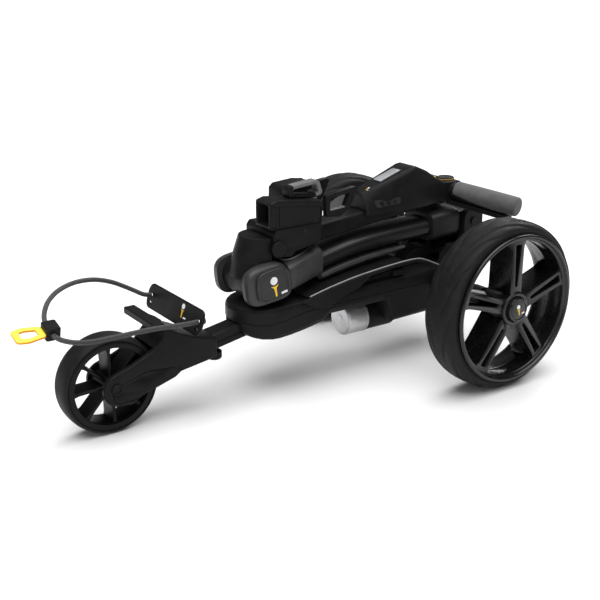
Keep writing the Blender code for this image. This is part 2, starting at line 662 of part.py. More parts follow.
def turn_about(mesh, centre, axis, degrees):
    turn = Matrix.Rotation(math.radians(degrees), 4, axis)
    mesh.transform(Matrix.Translation(centre) @ turn @ Matrix.Translation(-Vector(centre)))
    return mesh


clamp_mesh = block("bungee_clamp", CLAMP + Vector((-0.0110, -0.0100, -0.0090)),
                   CLAMP + Vector((0.0110, 0.0100, 0.0090)))
bungee_clamp = add_object("bungee_clamp", turn_about(clamp_mesh, CLAMP, "Y", CLAMP_TILT), "satin_black",
                          chassis)
clamp_hole = turn_about(rod("clamp_hole", "X", CLAMP, CORD_R + 0.0016, -0.0300, 0.0460, 16),
                        CLAMP, "Y", CLAMP_TILT)
boolean(bungee_clamp, cutter("clamp_hole", clamp_hole, chassis), "DIFFERENCE")

TAG_OUTLINE = [(-0.0130, -0.0105), (0.0130, -0.0105), (0.0190, -0.0400), (0.0150, -0.0580),
               (-0.0150, -0.0580), (-0.0190, -0.0400)]
TAG_HOLE = [(0.62 * x, 0.62 * (y + 0.034) - 0.035) for x, y in TAG_OUTLINE]


def tag_prism(name, outline, low, high):
    points = [(CLAMP.x + x, CLAMP.y + y) for x, y in outline]
    return turn_about(prism(name, points, "Z", CLAMP.z + low, CLAMP.z + high), CLAMP, "Y", CLAMP_TILT)


pull_tag = add_object("pull_tag", tag_prism("pull_tag", TAG_OUTLINE, -0.0025, 0.0025),
                      "tag_yellow", chassis)
boolean(pull_tag, cutter("tag_hole", tag_prism("tag_hole", TAG_HOLE, -0.01, 0.01), chassis),
        "DIFFERENCE")

# ---------------------------------------------------------------- rear hinge
HINGE = (MAST_HINGE.y, MAST_HINGE.z)
ear = [(HINGE[0] + 0.0236 * math.copysign(abs(math.cos(math.radians(a))) ** 0.62, math.cos(math.radians(a))),
        HINGE[1] + 0.0236 * abs(math.sin(math.radians(a))) ** 0.62) for a in range(0, 181, 12)]
cheek_outline = (ear
                 + [(0.0720, 0.2000), (0.0600, 0.1765), (0.0690, 0.1745), (0.1190, 0.1745),
                    (0.1220, 0.2000), (0.1220, 0.2300)])
hinge_bracket = add_object("hinge_bracket", block("hinge_bracket", (-0.0500, 0.0130, 0.1750),
                                                  (0.0500, 0.1220, 0.1850)), "satin_black", chassis)
wing_outline = [(0.0060, 0.1745), (0.0900, 0.1745), (0.0900, 0.2060), (0.0780, 0.2120),
                (0.0320, 0.2120)]
for side in (-1, 1):
    boolean(hinge_bracket, cutter("hinge_cheek", prism(
        "hinge_cheek", cheek_outline, "X", side * 0.0360, side * 0.0500), chassis), "UNION")
    boolean(hinge_bracket, cutter("hinge_wing", prism(
        "hinge_wing", wing_outline, "X", side * 0.0470, side * 0.0640), chassis), "UNION")
hinge_parts = (
    ("hinge_web", block("hinge_web", (-0.0480, 0.1160, 0.1760), (0.0480, 0.1220, 0.2250)), "UNION"),
    ("hinge_gear_room", rod("hinge_gear_room", "X", AXLE, 0.0545, -0.0175, 0.0175, 40),
     "DIFFERENCE"),
    ("hinge_pin_bore", rod("hinge_pin_bore", "X", MAST_HINGE, 0.0053, -0.060, 0.060, 16),
     "DIFFERENCE"),
)
for part_name, part_mesh, operation in hinge_parts:
    boolean(hinge_bracket, cutter(part_name, part_mesh, chassis), operation)
add_object("mast_hinge_pin", turned("mast_hinge_pin", [
    (-0.0530, 0.0), (-0.0530, 0.0080), (-0.0504, 0.0080), (-0.0504, 0.0050), (0.0504, 0.0050),
    (0.0504, 0.0080), (0.0530, 0.0080), (0.0530, 0.0)], "X", MAST_HINGE, 20), "steel", chassis)
latch = add_object("mast_latch", prism("mast_latch", [
    (0.1226, 0.1985), (0.1226, 0.2150), (0.1270, 0.2190), (0.1330, 0.2140), (0.1390, 0.1900),
    (0.1360, 0.1885), (0.1295, 0.2000)], "X", -0.0200, 0.0200), "satin_grey", latch_pivot)
bevel(latch, 0.0012)

# ---------------------------------------------------------------- mast
MAST_LINE = [(-0.2480, 0.2185), (-0.2150, 0.2255), (-0.1800, 0.2315), (-0.1400, 0.2360),
             (-0.0950, 0.2385), (-0.0500, 0.2400), (0.0030, 0.2405)]
MAST_HW, MAST_HH = 0.0350, 0.0192


def mast_z(y):
    return interpolate(MAST_LINE, y)


add_object("mast_tube", hollow_loft("mast_tube", [(-0.2950, 0.2085, MAST_HW, MAST_HH)] + [
    (y, z, MAST_HW, MAST_HH) for y, z in MAST_LINE], 0.0022, power=2.4), "gloss_black", mast)

underpanel_low = [(-0.2470, 0.1865), (-0.2000, 0.1945), (-0.1500, 0.2015), (-0.1000, 0.2070),
                  (-0.0560, 0.2125)]
underpanel_rings = []
for y, low in underpanel_low:
    high = mast_z(y) - MAST_HH - 0.0006
    middle = (low + high) / 2
    underpanel_rings.append([(-0.0320, y, high), (-0.0360, y, middle), (-0.0310, y, low),
                             (0.0310, y, low), (0.0360, y, middle), (0.0320, y, high)])
add_object("mast_underpanel", loft("mast_underpanel", underpanel_rings), "satin_grey", mast)

def squircle(count, power):
    points = []
    for i in range(count):
        t = 2 * math.pi * i / count
        c, s = math.cos(t), math.sin(t)
        points.append((math.copysign(abs(c) ** (2 / power), c),
                       math.copysign(abs(s) ** (2 / power), s)))
    return points


CHEEK_HY, CHEEK_HZ = 0.0425, 0.0340
CHEEK_LEAN = math.radians(7)


def knuckle_outline(inset):
    """Rounded-square outline round the knuckle, leaning with the mast."""
    points = []
    for c, s in squircle(24, 3.0):
        y, z = (CHEEK_HY - inset) * c, (CHEEK_HZ - inset) * s
        points.append((KNUCKLE.y + y * math.cos(CHEEK_LEAN) - z * math.sin(CHEEK_LEAN),
                       KNUCKLE.z + y * math.sin(CHEEK_LEAN) + z * math.cos(CHEEK_LEAN)))
    return points


# Grey casting over the front of the mast, with one cheek either side of the knuckle
SLEEVE = [(-0.3270, 0.2105, 0.0590, 0.0268), (-0.3130, 0.2130, 0.0580, 0.0270),
          (-0.2940, 0.2160, 0.0530, 0.0270), (-0.2740, 0.2190, 0.0470, 0.0272),
          (-0.2485, 0.2215, 0.0410, 0.0275)]
sleeve = add_object("mast_sleeve", loft("mast_sleeve", [
    oval_ring(y, z, w, h, 4.0, 24) for y, z, w, h in SLEEVE]), "satin_grey", mast)
sleeve_room = [oval_ring(y, z, MAST_HW + GAP, MAST_HH + GAP, 2.4, 20)
               for y, z in [(-0.2956, 0.2084), (-0.2480, 0.2185), (-0.2150, 0.2255)]]
cheek = knuckle_outline(0.0)[3:22] + [(-0.3150, 0.1890), (-0.3150, 0.2375)]
sleeve_parts = [(f"sleeve_cheek_{side}", prism(f"sleeve_cheek_{side}", cheek,
                                               "X", side * 0.0402, side * 0.0590), "UNION")
                for side in (-1, 1)]
sleeve_parts += [
    ("sleeve_room", loft("sleeve_room", sleeve_room), "DIFFERENCE"),
    ("sleeve_bore", rod("sleeve_bore", "X", KNUCKLE, 0.0063, -0.080, 0.080, 20), "DIFFERENCE"),
    ("sleeve_tongue_room", rod("sleeve_tongue_room", "X", KNUCKLE, 0.0480, -0.0402, 0.0402, 32),
     "DIFFERENCE"),
]
for part_name, part_mesh, operation in sleeve_parts:
    boolean(sleeve, cutter(part_name, part_mesh, mast), operation)


def knuckle_cap_mesh(name, side):
    """Rounded-square cap, stepped in towards its outer face."""
    rings = []
    for x, inset in ((0.0593, 0.0010), (0.0630, 0.0010), (0.0655, 0.0030), (0.0660, 0.0060)):
        rings.append([(side * x, y, z) for y, z in knuckle_outline(inset)])
    return loft(name, rings)


for side_name, side in (("left", 1), ("right", -1)):
    add_object(f"knuckle_cap_{side_name}", knuckle_cap_mesh(f"knuckle_cap_{side_name}", side),
               "satin_grey", mast)
add_object("knuckle_pin", rod("knuckle_pin", "X", KNUCKLE, 0.0060, -0.0588, 0.0588), "steel", mast)

# Collar casting on the rear of the mast, with the hinge tongue behind it
COLLAR = [(0.0034, 0.2420, 0.0400, 0.0250), (0.0060, 0.2425, 0.0420, 0.0265),
          (0.0660, 0.2460, 0.0430, 0.0268), (0.0700, 0.2460, 0.0415, 0.0255)]
collar = add_object("mast_collar", loft("mast_collar", [
    oval_ring(y, z, w, h, 4.5, 24) for y, z, w, h in COLLAR]), "satin_grey", mast)
tongue_outline = arc(HINGE, 0.0190, -110, 110, 12) + [(0.0600, 0.2640), (0.0600, 0.2280)]
for part_name, part_mesh, operation in (
        ("collar_tongue", prism("collar_tongue", tongue_outline, "X", -0.0350, 0.0350), "UNION"),
        ("collar_bore", rod("collar_bore", "X", MAST_HINGE, 0.0053, -0.060, 0.060, 16),
         "DIFFERENCE")):
    boolean(collar, cutter(part_name, part_mesh, mast), operation)

# ---------------------------------------------------------------- handle shaft
tongue = add_object("knuckle_tongue", rod("knuckle_tongue", "X", KNUCKLE, 0.0335, -0.0394, 0.0394,
                                           28), "satin_black", shaft)


def tongue_post_ring(z, radius, centre_y):
    """Plan of the post above the barrel: round at the front, flat at the rear."""
    front = [(radius * math.cos(math.radians(a)), centre_y + radius * math.sin(math.radians(a)), z)
             for a in range(180, 361, 20)]
    return front + [(radius, -0.3530, z), (-radius, -0.3530, z)]


tongue_post = loft("tongue_post", [tongue_post_ring(0.2120, 0.0390, -0.3700),
                                   tongue_post_ring(0.2500, 0.0380, -0.3630),
                                   tongue_post_ring(0.2810, 0.0365, -0.3530)])
boolean(tongue, cutter("tongue_post", tongue_post, shaft), "UNION")
boolean(tongue, cutter("tongue_bore", rod("tongue_bore", "X", KNUCKLE, 0.0063, -0.080, 0.080, 20),
                       shaft), "DIFFERENCE")

SHAFT_START, SHAFT_END = -0.3520, 0.0470
shaft_tube = add_object("shaft_tube", hollow_loft("shaft_tube", [
    (y, shaft_z(y), SHAFT_HW, SHAFT_HH) for y in (SHAFT_START, SHAFT_END)], 0.0020, power=5.0,
    count=16), "satin_black", shaft)
BOLT = Vector((0, -0.3440, shaft_z(-0.3440) + 0.0050))
boolean(shaft_tube, cutter("shaft_bolt_bore", rod("shaft_bolt_bore", "X", BOLT, 0.0038,
                                                  -0.060, 0.060, 12), shaft), "DIFFERENCE")


def shaft_room(name, low, high, grow):
    """The space the shaft takes, as a cutter for whatever clamps round it."""
    rings = [[(x, y, shaft_z(y) + z) for x, z in
              ((-SHAFT_HW - grow, -0.030), (SHAFT_HW + grow, -0.030),
               (SHAFT_HW + grow, SHAFT_HH + grow), (-SHAFT_HW - grow, SHAFT_HH + grow))]
             for y in (low, high)]
    return cutter(name, loft(name, rings), shaft)


# ---------------------------------------------------------------- upper bag support
base_outline = [(-0.3520, 0.2490), (-0.3180, 0.2440), (-0.3080, 0.2520), (-0.2580, 0.2620),
                (-0.2540, 0.2960), (-0.3460, 0.2960), (-0.3520, 0.2880)]
support_base = add_object("bag_support_base", prism("bag_support_base", base_outline, "X",
                                                    -0.0440, 0.0440), "satin_black", shaft)
boolean(support_base, shaft_room("support_shaft_room", -0.370, -0.230, GAP), "DIFFERENCE")
boolean(support_base, cutter("support_bolt_bore", rod("support_bolt_bore", "X", BOLT, 0.0038,
                                                      -0.060, 0.060, 12), shaft), "DIFFERENCE")
add_object("support_bolt", turned("support_bolt", [
    (-0.0485, 0.0), (-0.0485, 0.0080), (-0.0444, 0.0080), (-0.0444, 0.0035), (0.0444, 0.0035),
    (0.0444, 0.0145), (0.0480, 0.0145), (0.0495, 0.0130), (0.0495, 0.0)], "X", BOLT, 24),
    "satin_grey", shaft)
pod = add_object("bag_support_pod", prism("bag_support_pod", [
    (-0.3620, 0.2965), (-0.2560, 0.2965), (-0.2540, 0.3300), (-0.2620, 0.3360), (-0.3480, 0.3460),
    (-0.3620, 0.3420)], "X", 0.0020, 0.0480), "satin_black", shaft)
bevel(pod, 0.002)
boolean(pod, cutter("pod_hollow", prism("pod_hollow", [
    (-0.3700, 0.3040), (-0.2660, 0.3020), (-0.2660, 0.3270), (-0.3700, 0.3380)], "X",
    0.0080, 0.0420), shaft), "DIFFERENCE")
saddle = add_object("bag_support_saddle", prism("bag_support_saddle", [
    (-0.3050, 0.2965), (-0.2540, 0.2965), (-0.2530, 0.3430), (-0.2340, 0.3460), (-0.2340, 0.3530),
    (-0.2560, 0.3560), (-0.2960, 0.3530), (-0.3040, 0.3470)], "X", -0.0480, 0.0014), "satin_black", shaft)
bevel(saddle, 0.002)

bag_support_pad = add_object("bag_support_pad", prism("bag_support_pad", [
    (-0.3160, 0.3429), (-0.2640, 0.3369), (-0.2480, 0.3400), (-0.2450, 0.3450), (-0.2520, 0.3640),
    (-0.2580, 0.3670), (-0.3100, 0.3620), (-0.3160, 0.3580)], "X", 0.0140, 0.0340),
    "satin_grey", shaft)
boolean(bag_support_pad, cutter("pad_window", prism("pad_window", [
    (-0.3060, 0.3490), (-0.2640, 0.3440), (-0.2540, 0.3460), (-0.2590, 0.3600), (-0.3060, 0.3560)],
    "X", 0.0000, 0.0500), shaft), "DIFFERENCE")
bevel(bag_support_pad, 0.0015)

ARM_OUTLINE = [(-0.2470, 0.3030), (-0.2480, 0.3400), (-0.2200, 0.3450), (-0.1860, 0.3490),
               (-0.1800, 0.3440), (-0.1960, 0.3130), (-0.2180, 0.3000)]
ARM_SLOT = [(-0.2390, 0.3140), (-0.2380, 0.3340), (-0.1980, 0.3390), (-0.2080, 0.3160)]
for side_name, side in (("left", 1), ("right", -1)):
    low, high = sorted((side * 0.0350, side * 0.0470))
    arm = add_object(f"bag_arm_{side_name}", prism(f"bag_arm_{side_name}", ARM_OUTLINE, "X",
                                                   low, high), "satin_black", arm_pivots[side_name])
    boolean(arm, cutter(f"arm_slot_{side_name}", prism(
        f"arm_slot_{side_name}", ARM_SLOT, "X", low - 0.02, high + 0.02), shaft), "DIFFERENCE")
    bevel(arm, 0.0012)

# ---------------------------------------------------------------- handle console
CONSOLE = [(-0.1470, 0.2880, 0.3220, 0.0300, 0.0150), (-0.1430, 0.2860, 0.3255, 0.0330, 0.0170),
           (-0.1200, 0.2860, 0.3335, 0.0345, 0.0205), (-0.0380, 0.2860, 0.3600, 0.0355, 0.0285),
           (-0.0280, 0.2860, 0.3610, 0.0355, 0.0290), (-0.0030, 0.2865, 0.3500, 0.0330, 0.0285),
           (0.0220, 0.2880, 0.3340, 0.0285, 0.0265), (0.0468, 0.2895, 0.3230, 0.0260, 0.0250)]


def console_ring(y, low, high, half, top, corner):
    """Section of the console: a low skirt, sides that lean in, and chamfered top edges."""
    skirt = 0.2990
    right = [(half, low), (half, skirt), (top, high - corner), (top - corner, high)]
    left = [(-x, z) for x, z in reversed(right)]
    return [(x, y, z) for x, z in right + left]


console = add_object("console_shell", loft("console_shell", [
    console_ring(*station, 0.0050) for station in CONSOLE], sharp=30), "satin_black", shaft)
console_hollow = cutter("console_hollow", loft("console_hollow", [
    console_ring(y, 0.2700, high - WALL, half - WALL, top - WALL, 0.0040)
    for y, low, high, half, top in CONSOLE[1:-1]]), shaft)
boolean(console, console_hollow, "DIFFERENCE")
boolean(console, shaft_room("console_shaft_room", -0.200, 0.080, GAP), "DIFFERENCE")
SCREEN_TILT = math.degrees(math.atan2(CONSOLE[5][2] - CONSOLE[6][2], CONSOLE[6][0] - CONSOLE[5][0]))
BADGE_TILT = math.degrees(math.atan2(CONSOLE[3][2] - CONSOLE[2][2], CONSOLE[3][0] - CONSOLE[2][0]))


def tilted_plate(name, centre, tilt, half_x, half_y, low, high):
    """Flat plate turned about X through its own centre."""
    mesh = block(name, (-half_x, centre[0] - half_y, centre[1] + low),
                 (half_x, centre[0] + half_y, centre[1] + high))
    return turn_about(mesh, Vector((0, *centre)), "X", tilt)


SCREEN_AT = (0.0085, 0.3426)
BADGE_AT = (-0.0780, 0.3471)
for name, centre, tilt, half_x, half_y, look in (
        ("display_screen", SCREEN_AT, -SCREEN_TILT, 0.0200, 0.0110, "screen_glass"),
        ("badge_plate", BADGE_AT, BADGE_TILT, 0.0115, 0.0255, "badge_silver")):
    pocket = tilted_plate(f"{name}_pocket", centre, tilt, half_x + GAP, half_y + GAP,
                          -0.0016, 0.0080)
    boolean(console, cutter(f"{name}_pocket", pocket, shaft), "DIFFERENCE")
    add_object(name, tilted_plate(name, centre, tilt, half_x, half_y, -0.0013, 0.0006), look, shaft)
add_object("control_board", tilted_plate("control_board", (-0.0700, 0.3260), BADGE_TILT - 6,
                                         0.0150, 0.0300, -0.0008, 0.0008), "board_green", shaft)
power_hole = rod("power_hole", "Z", (0, POWER_BUTTON.y, 0), 0.0045, 0.310, 0.350, 16)
boolean(console, cutter("power_hole", power_hole, shaft), "DIFFERENCE")
add_object("power_button", turned("power_button", [
    (0.3180, 0.0), (0.3180, 0.0041), (0.3295, 0.0041), (0.3305, 0.0030), (0.3305, 0.0)],
    "Z", (0, POWER_BUTTON.y, 0), 16), "tag_yellow", button_pivot)

# ---------------------------------------------------------------- handle bar
BAR = Vector((0, 0.066, 0.3070))
GRIP_R = 0.0180
GRIP_BACK, GRIP_DOWN = 16.0, 6.0        # degrees each side of the bar sweeps back and droops


def swept(mesh, side):
    """Turn one side of the bar back and down about the hub's side face."""
    root = BAR + Vector((side * 0.0255, 0, 0))
    return turn_about(turn_about(mesh, root, "Y", side * GRIP_DOWN), root, "Z", side * GRIP_BACK)


def side_rod(name, side, low, high):
    low, high = sorted((side * low, side * high))
    return swept(rod(name, "X", BAR, 0.0125, low, high, 24), side)


hub_outline = [(0.0475, 0.2870), (0.0780, 0.2870), (0.0860, 0.2950), (0.0860, 0.3170),
               (0.0800, 0.3217), (0.0475, 0.3217)]
handle_bar = add_object("handle_bar", prism("handle_bar", hub_outline, "X", -0.0255, 0.0255),
                        "satin_black", shaft)
for side in (-1, 1):
    low, high = sorted((side * 0.0180, side * 0.1460))
    rail = swept(block(f"bar_rail_{side}", (low, BAR.y - 0.0120, 0.2795),
                       (high, BAR.y + 0.0120, 0.2885)), side)
    boolean(handle_bar, cutter(f"bar_rod_{side}", side_rod(f"bar_rod_{side}", side, 0.0100, 0.1545),
                               shaft), "UNION")
    boolean(handle_bar, cutter(f"bar_rail_{side}", rail, shaft), "UNION")
for side_name, side in (("left", 1), ("right", -1)):
    add_object(f"grip_{side_name}", swept(turned(f"grip_{side_name}", mirrored([
        (0.0318, 0.0128), (0.0318, 0.0165), (0.0350, GRIP_R), (0.1560, GRIP_R),
        (0.1600, 0.0160), (0.1612, 0.0110), (0.1612, 0.0), (0.1550, 0.0), (0.1550, 0.0128)],
        side), "X", BAR, 24), side), "grip_rubber", shaft)
add_object("speed_dial", turned("speed_dial", [
    (0.3221, 0.0), (0.3221, 0.0165), (0.3232, 0.0172), (0.3258, 0.0168), (0.3272, 0.0150),
    (0.3272, 0.0)], "Z", (0, DIAL.y, 0), 28), "satin_black", dial_pivot)
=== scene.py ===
import json
from math import copysign, cos, floor, pi, radians, sin, sqrt

import bmesh
import bpy
from mathutils import Matrix, Vector
from mathutils.bvhtree import BVHTree

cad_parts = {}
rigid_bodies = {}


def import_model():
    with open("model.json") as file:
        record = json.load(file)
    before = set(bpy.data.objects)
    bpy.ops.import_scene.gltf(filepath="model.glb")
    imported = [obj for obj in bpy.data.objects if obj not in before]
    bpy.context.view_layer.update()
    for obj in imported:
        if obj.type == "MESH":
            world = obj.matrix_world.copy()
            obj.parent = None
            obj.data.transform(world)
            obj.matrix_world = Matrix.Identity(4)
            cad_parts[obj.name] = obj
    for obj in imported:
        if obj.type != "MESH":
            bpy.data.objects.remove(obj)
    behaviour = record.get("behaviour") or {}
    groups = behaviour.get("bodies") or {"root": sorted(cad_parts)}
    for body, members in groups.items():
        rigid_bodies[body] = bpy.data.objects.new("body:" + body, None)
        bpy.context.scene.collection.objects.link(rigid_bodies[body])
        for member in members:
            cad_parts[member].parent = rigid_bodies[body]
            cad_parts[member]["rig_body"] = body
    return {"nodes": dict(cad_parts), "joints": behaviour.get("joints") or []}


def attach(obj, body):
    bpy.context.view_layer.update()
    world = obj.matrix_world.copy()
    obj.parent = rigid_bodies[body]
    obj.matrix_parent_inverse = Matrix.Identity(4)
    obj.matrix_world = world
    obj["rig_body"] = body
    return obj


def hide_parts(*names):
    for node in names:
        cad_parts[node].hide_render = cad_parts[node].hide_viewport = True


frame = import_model()
scene = bpy.context.scene
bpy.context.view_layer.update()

PIVOT = {joint["name"]: Vector(joint["pos_m"]) for joint in frame["joints"] if "pos_m" in joint}
AXLE = PIVOT["drive_turn"]
FRONT_AXLE = PIVOT["front_wheel_turn"]
KNUCKLE = PIVOT["shaft_fold"]
HINGE = PIVOT["mast_fold"]
REAR_R = AXLE.z
FRONT_R = FRONT_AXLE.z
SIDES = (("left", 1), ("right", -1))

# KNUCKLE_Y, HINGE_Y and the y that at() takes are measured from the rear axle
AXLE_Y = AXLE.y
KNUCKLE_Y = KNUCKLE.y - AXLE_Y
HINGE_Y = HINGE.y - AXLE_Y


def at(x, y, z):
    """A point whose y is measured from the rear axle."""
    return Vector((x, y + AXLE_Y, z))


def add(name, data):
    """Put new data in the scene as an object."""
    obj = bpy.data.objects.new(name, data)
    scene.collection.objects.link(obj)
    return obj


def link(tree, source, output, target, slot_name):
    """Join a node's output to another's input."""
    tree.links.new(source.outputs[output], target.inputs[slot_name])


def node(tree, kind, **values):
    """Add a node; a value is one of its settings, or one of its inputs."""
    made = tree.nodes.new(kind)
    for key, value in values.items():
        if hasattr(made, key):
            setattr(made, key, value)
        else:
            made.inputs[key.replace("_", " ")].default_value = value
    return made


# ------------------------ camera and lights
CAMERA_AT = Vector((1.39122569, -0.94966664, 0.73767972))
CAMERA_AZIMUTH, CAMERA_ELEVATION = radians(55.1511), radians(19.2573)
CAMERA_LENS_MM = 60.69
FLOOR_HALF = 40.0
camera_data = bpy.data.cameras.new("camera")
camera_data.lens = CAMERA_LENS_MM
camera_data.sensor_width = 36.0
camera_data.clip_end = 2.5 * FLOOR_HALF
camera = add("camera", camera_data)
camera.location = CAMERA_AT
view_back = Vector((sin(CAMERA_AZIMUTH) * cos(CAMERA_ELEVATION),
                    -cos(CAMERA_AZIMUTH) * cos(CAMERA_ELEVATION),
                    sin(CAMERA_ELEVATION)))
camera.rotation_mode = "QUATERNION"
camera.rotation_quaternion = (-view_back).to_track_quat("-Z", "Y")
scene.camera = camera
scene.view_settings.view_transform = "Standard"
scene.view_settings.look = "None"

# The backdrop is white to the camera, but lights the object only a little
WORLD_GLOW, WORLD_SEEN = 0.10, 1.0
world = bpy.data.worlds.new("studio")
world.use_nodes = True
scene.world = world
sky = world.node_tree.nodes["Background"]
sky.inputs["Color"].default_value = (1.0, 1.0, 1.0, 1.0)
seen = node(world.node_tree, "ShaderNodeLightPath")
strength = node(world.node_tree, "ShaderNodeMapRange", To_Min=WORLD_GLOW, To_Max=WORLD_SEEN)
link(world.node_tree, seen, "Is Camera Ray", strength, "Value")
link(world.node_tree, strength, "Result", sky, "Strength")


def sun(name, direction, strength, angle):
    """A soft light that comes from `direction`; a wider angle in degrees softens it."""
    data = bpy.data.lights.new(name, "SUN")
    data.energy = strength
    data.angle = radians(angle)
    lamp = add(name, data)
    lamp.rotation_mode = "QUATERNION"
    lamp.rotation_quaternion = Vector(direction).to_track_quat("Z", "Y")


sun("overhead_softbox", (0.10, -0.05, 1.0), 3.9, 70)
sun("front_fill", (0.75, -0.60, 0.55), 0.5, 50)
sun("rear_rim", (-0.45, 0.80, 0.55), 1.1, 25)


# ------------------------ materials
COAT_ROUGHNESS = 0.12
NOISE_LOW, NOISE_HIGH = 0.3, 0.7        # most of a noise texture's values lie between these
GRAIN_DEPTH = 0.0004


def finish_look(name, colour, rough, metallic=0.0, specular=0.2, coat=0.0, sheen=0.0,
                mottle=0.15, mottle_size=0.02, rough_span=0.08, grain=0.15, grain_size=0.0006,
                stretch=(1.0, 1.0, 1.0), pattern=None):
    """Moulded, cast or rubber surface: cloudy colour and gloss, with a fine grain as bump.

    mottle and rough_span are how far colour and roughness stray; sizes are in metres.
    stretch draws the texture out along an axis where it is below 1, as brushing does.
    """
    mat = bpy.data.materials.new(name)
    mat.use_nodes = True
    tree = mat.node_tree
    shader = tree.nodes["Principled BSDF"]
    for key, value in (("Metallic", metallic), ("Specular IOR Level", specular),
                       ("Coat Weight", coat), ("Coat Roughness", COAT_ROUGHNESS),
                       ("Sheen Weight", sheen)):
        shader.inputs[key].default_value = value
    place = node(tree, "ShaderNodeTexCoord")
    mapping = node(tree, "ShaderNodeMapping", Scale=stretch)
    link(tree, place, "Object", mapping, "Vector")
    cloud = node(tree, "ShaderNodeTexNoise", Scale=1.0 / mottle_size, Detail=4.0)
    link(tree, mapping, "Vector", cloud, "Vector")
    tint = node(tree, "ShaderNodeValToRGB")
    for stop, shift in zip(tint.color_ramp.elements, (1.0 - mottle, 1.0 + mottle)):
        stop.color = (*(channel * shift for channel in colour), 1.0)
    tint.color_ramp.elements[0].position = NOISE_LOW
    tint.color_ramp.elements[1].position = NOISE_HIGH
    link(tree, cloud, "Fac", tint, "Fac")
    link(tree, tint, "Color", shader, "Base Color")
    gloss = node(tree, "ShaderNodeMapRange", From_Min=NOISE_LOW, From_Max=NOISE_HIGH,
                 To_Min=rough - rough_span, To_Max=rough + rough_span)
    link(tree, cloud, "Fac", gloss, "Value")
    link(tree, gloss, "Result", shader, "Roughness")
    fine = node(tree, "ShaderNodeTexNoise", Scale=1.0 / grain_size, Detail=2.0)
    link(tree, mapping, "Vector", fine, "Vector")
    bump = node(tree, "ShaderNodeBump", Strength=grain, Distance=GRAIN_DEPTH)
    link(tree, fine, "Fac", bump, "Height")
    if pattern is not None:
        pattern(tree, mapping, bump)
    link(tree, bump, "Normal", shader, "Normal")
    return mat


def dimples(size, depth):
    """A regular dimpled texture, as on a moulded grip, under the grain."""
    def build(tree, mapping, bump):
        cells = node(tree, "ShaderNodeTexVoronoi", Scale=1.0 / size, feature="F1")
        link(tree, mapping, "Vector", cells, "Vector")
        under = node(tree, "ShaderNodeBump", Strength=depth, Distance=0.0006)
        link(tree, cells, "Distance", under, "Height")
        link(tree, under, "Normal", bump, "Normal")
    return build


def braid(tree, mapping, bump):
    """Crossing strands of a woven sleeve, laid out along the cord's own UVs."""
    uv = node(tree, "ShaderNodeTexCoord")
    under = node(tree, "ShaderNodeBump", Strength=0.9, Distance=0.0008)
    heights = []
    for slant in (45.0, -45.0):
        turn = node(tree, "ShaderNodeMapping", Rotation=(0.0, 0.0, radians(slant)))
        link(tree, uv, "UV", turn, "Vector")
        wave = node(tree, "ShaderNodeTexWave", wave_type="BANDS", Scale=5.0, Distortion=0.0)
        link(tree, turn, "Vector", wave, "Vector")
        heights.append(wave)
    both = node(tree, "ShaderNodeMath", operation="MAXIMUM")
    tree.links.new(heights[0].outputs["Fac"], both.inputs[0])
    tree.links.new(heights[1].outputs["Fac"], both.inputs[1])
    tree.links.new(both.outputs["Value"], under.inputs["Height"])
    link(tree, under, "Normal", bump, "Normal")


# Looks of the CAD's own material slots
LOOKS = {
    "satin_black": finish_look("moulded_black", (0.0085, 0.0085, 0.0091), 0.44, specular=0.11,
                               grain=0.22),
    "gloss_black": finish_look("gloss_black", (0.0070, 0.0070, 0.0076), 0.26, specular=0.26,
                               coat=0.25, grain=0.04, rough_span=0.04),
    "satin_grey": finish_look("cast_grey", (0.0360, 0.0360, 0.0370), 0.40, specular=0.28,
                              grain=0.18, grain_size=0.0004),
    "tyre_rubber": finish_look("tyre_rubber", (0.0105, 0.0105, 0.0107), 0.58, specular=0.14,
                               grain=0.35, grain_size=0.0009, mottle=0.25),
    "grip_rubber": finish_look("grip_rubber", (0.1080, 0.1080, 0.1110), 0.78, specular=0.15,
                               sheen=0.15, grain=0.3, pattern=dimples(0.0014, 0.35)),
    "motor_silver": finish_look("brushed_can", (0.52, 0.52, 0.53), 0.36, metallic=0.75,
                                specular=0.5, grain=0.25, grain_size=0.0008,
                                stretch=(1.0, 0.08, 1.0)),
    "steel": finish_look("plated_steel", (0.34, 0.34, 0.35), 0.34, metallic=1.0, specular=0.5,
                         grain=0.15, grain_size=0.0008, stretch=(1.0, 0.2, 1.0)),
    "brass": finish_look("brass", (0.60, 0.42, 0.17), 0.34, metallic=1.0, specular=0.5),
    "tag_yellow": finish_look("tag_yellow", (0.93, 0.76, 0.070), 0.42, specular=0.4,
                              mottle=0.06, grain=0.12),
    "cord_black": finish_look("woven_cord", (0.0300, 0.0300, 0.0310), 0.62, specular=0.25,
                              sheen=0.3, grain=0.3, grain_size=0.0003, pattern=braid),
    "screen_glass": finish_look("screen_glass", (0.010, 0.012, 0.030), 0.10, specular=0.5,
                                coat=0.6, grain=0.01, mottle=0.05, rough_span=0.02),
    "board_green": finish_look("board_green", (0.015, 0.110, 0.050), 0.48, mottle=0.3,
                               mottle_size=0.004),
    "badge_silver": finish_look("badge_silver", (0.44, 0.45, 0.47), 0.34, metallic=0.45,
                                specular=0.5, grain=0.2, grain_size=0.0007,
                                stretch=(1.0, 0.06, 1.0)),
}
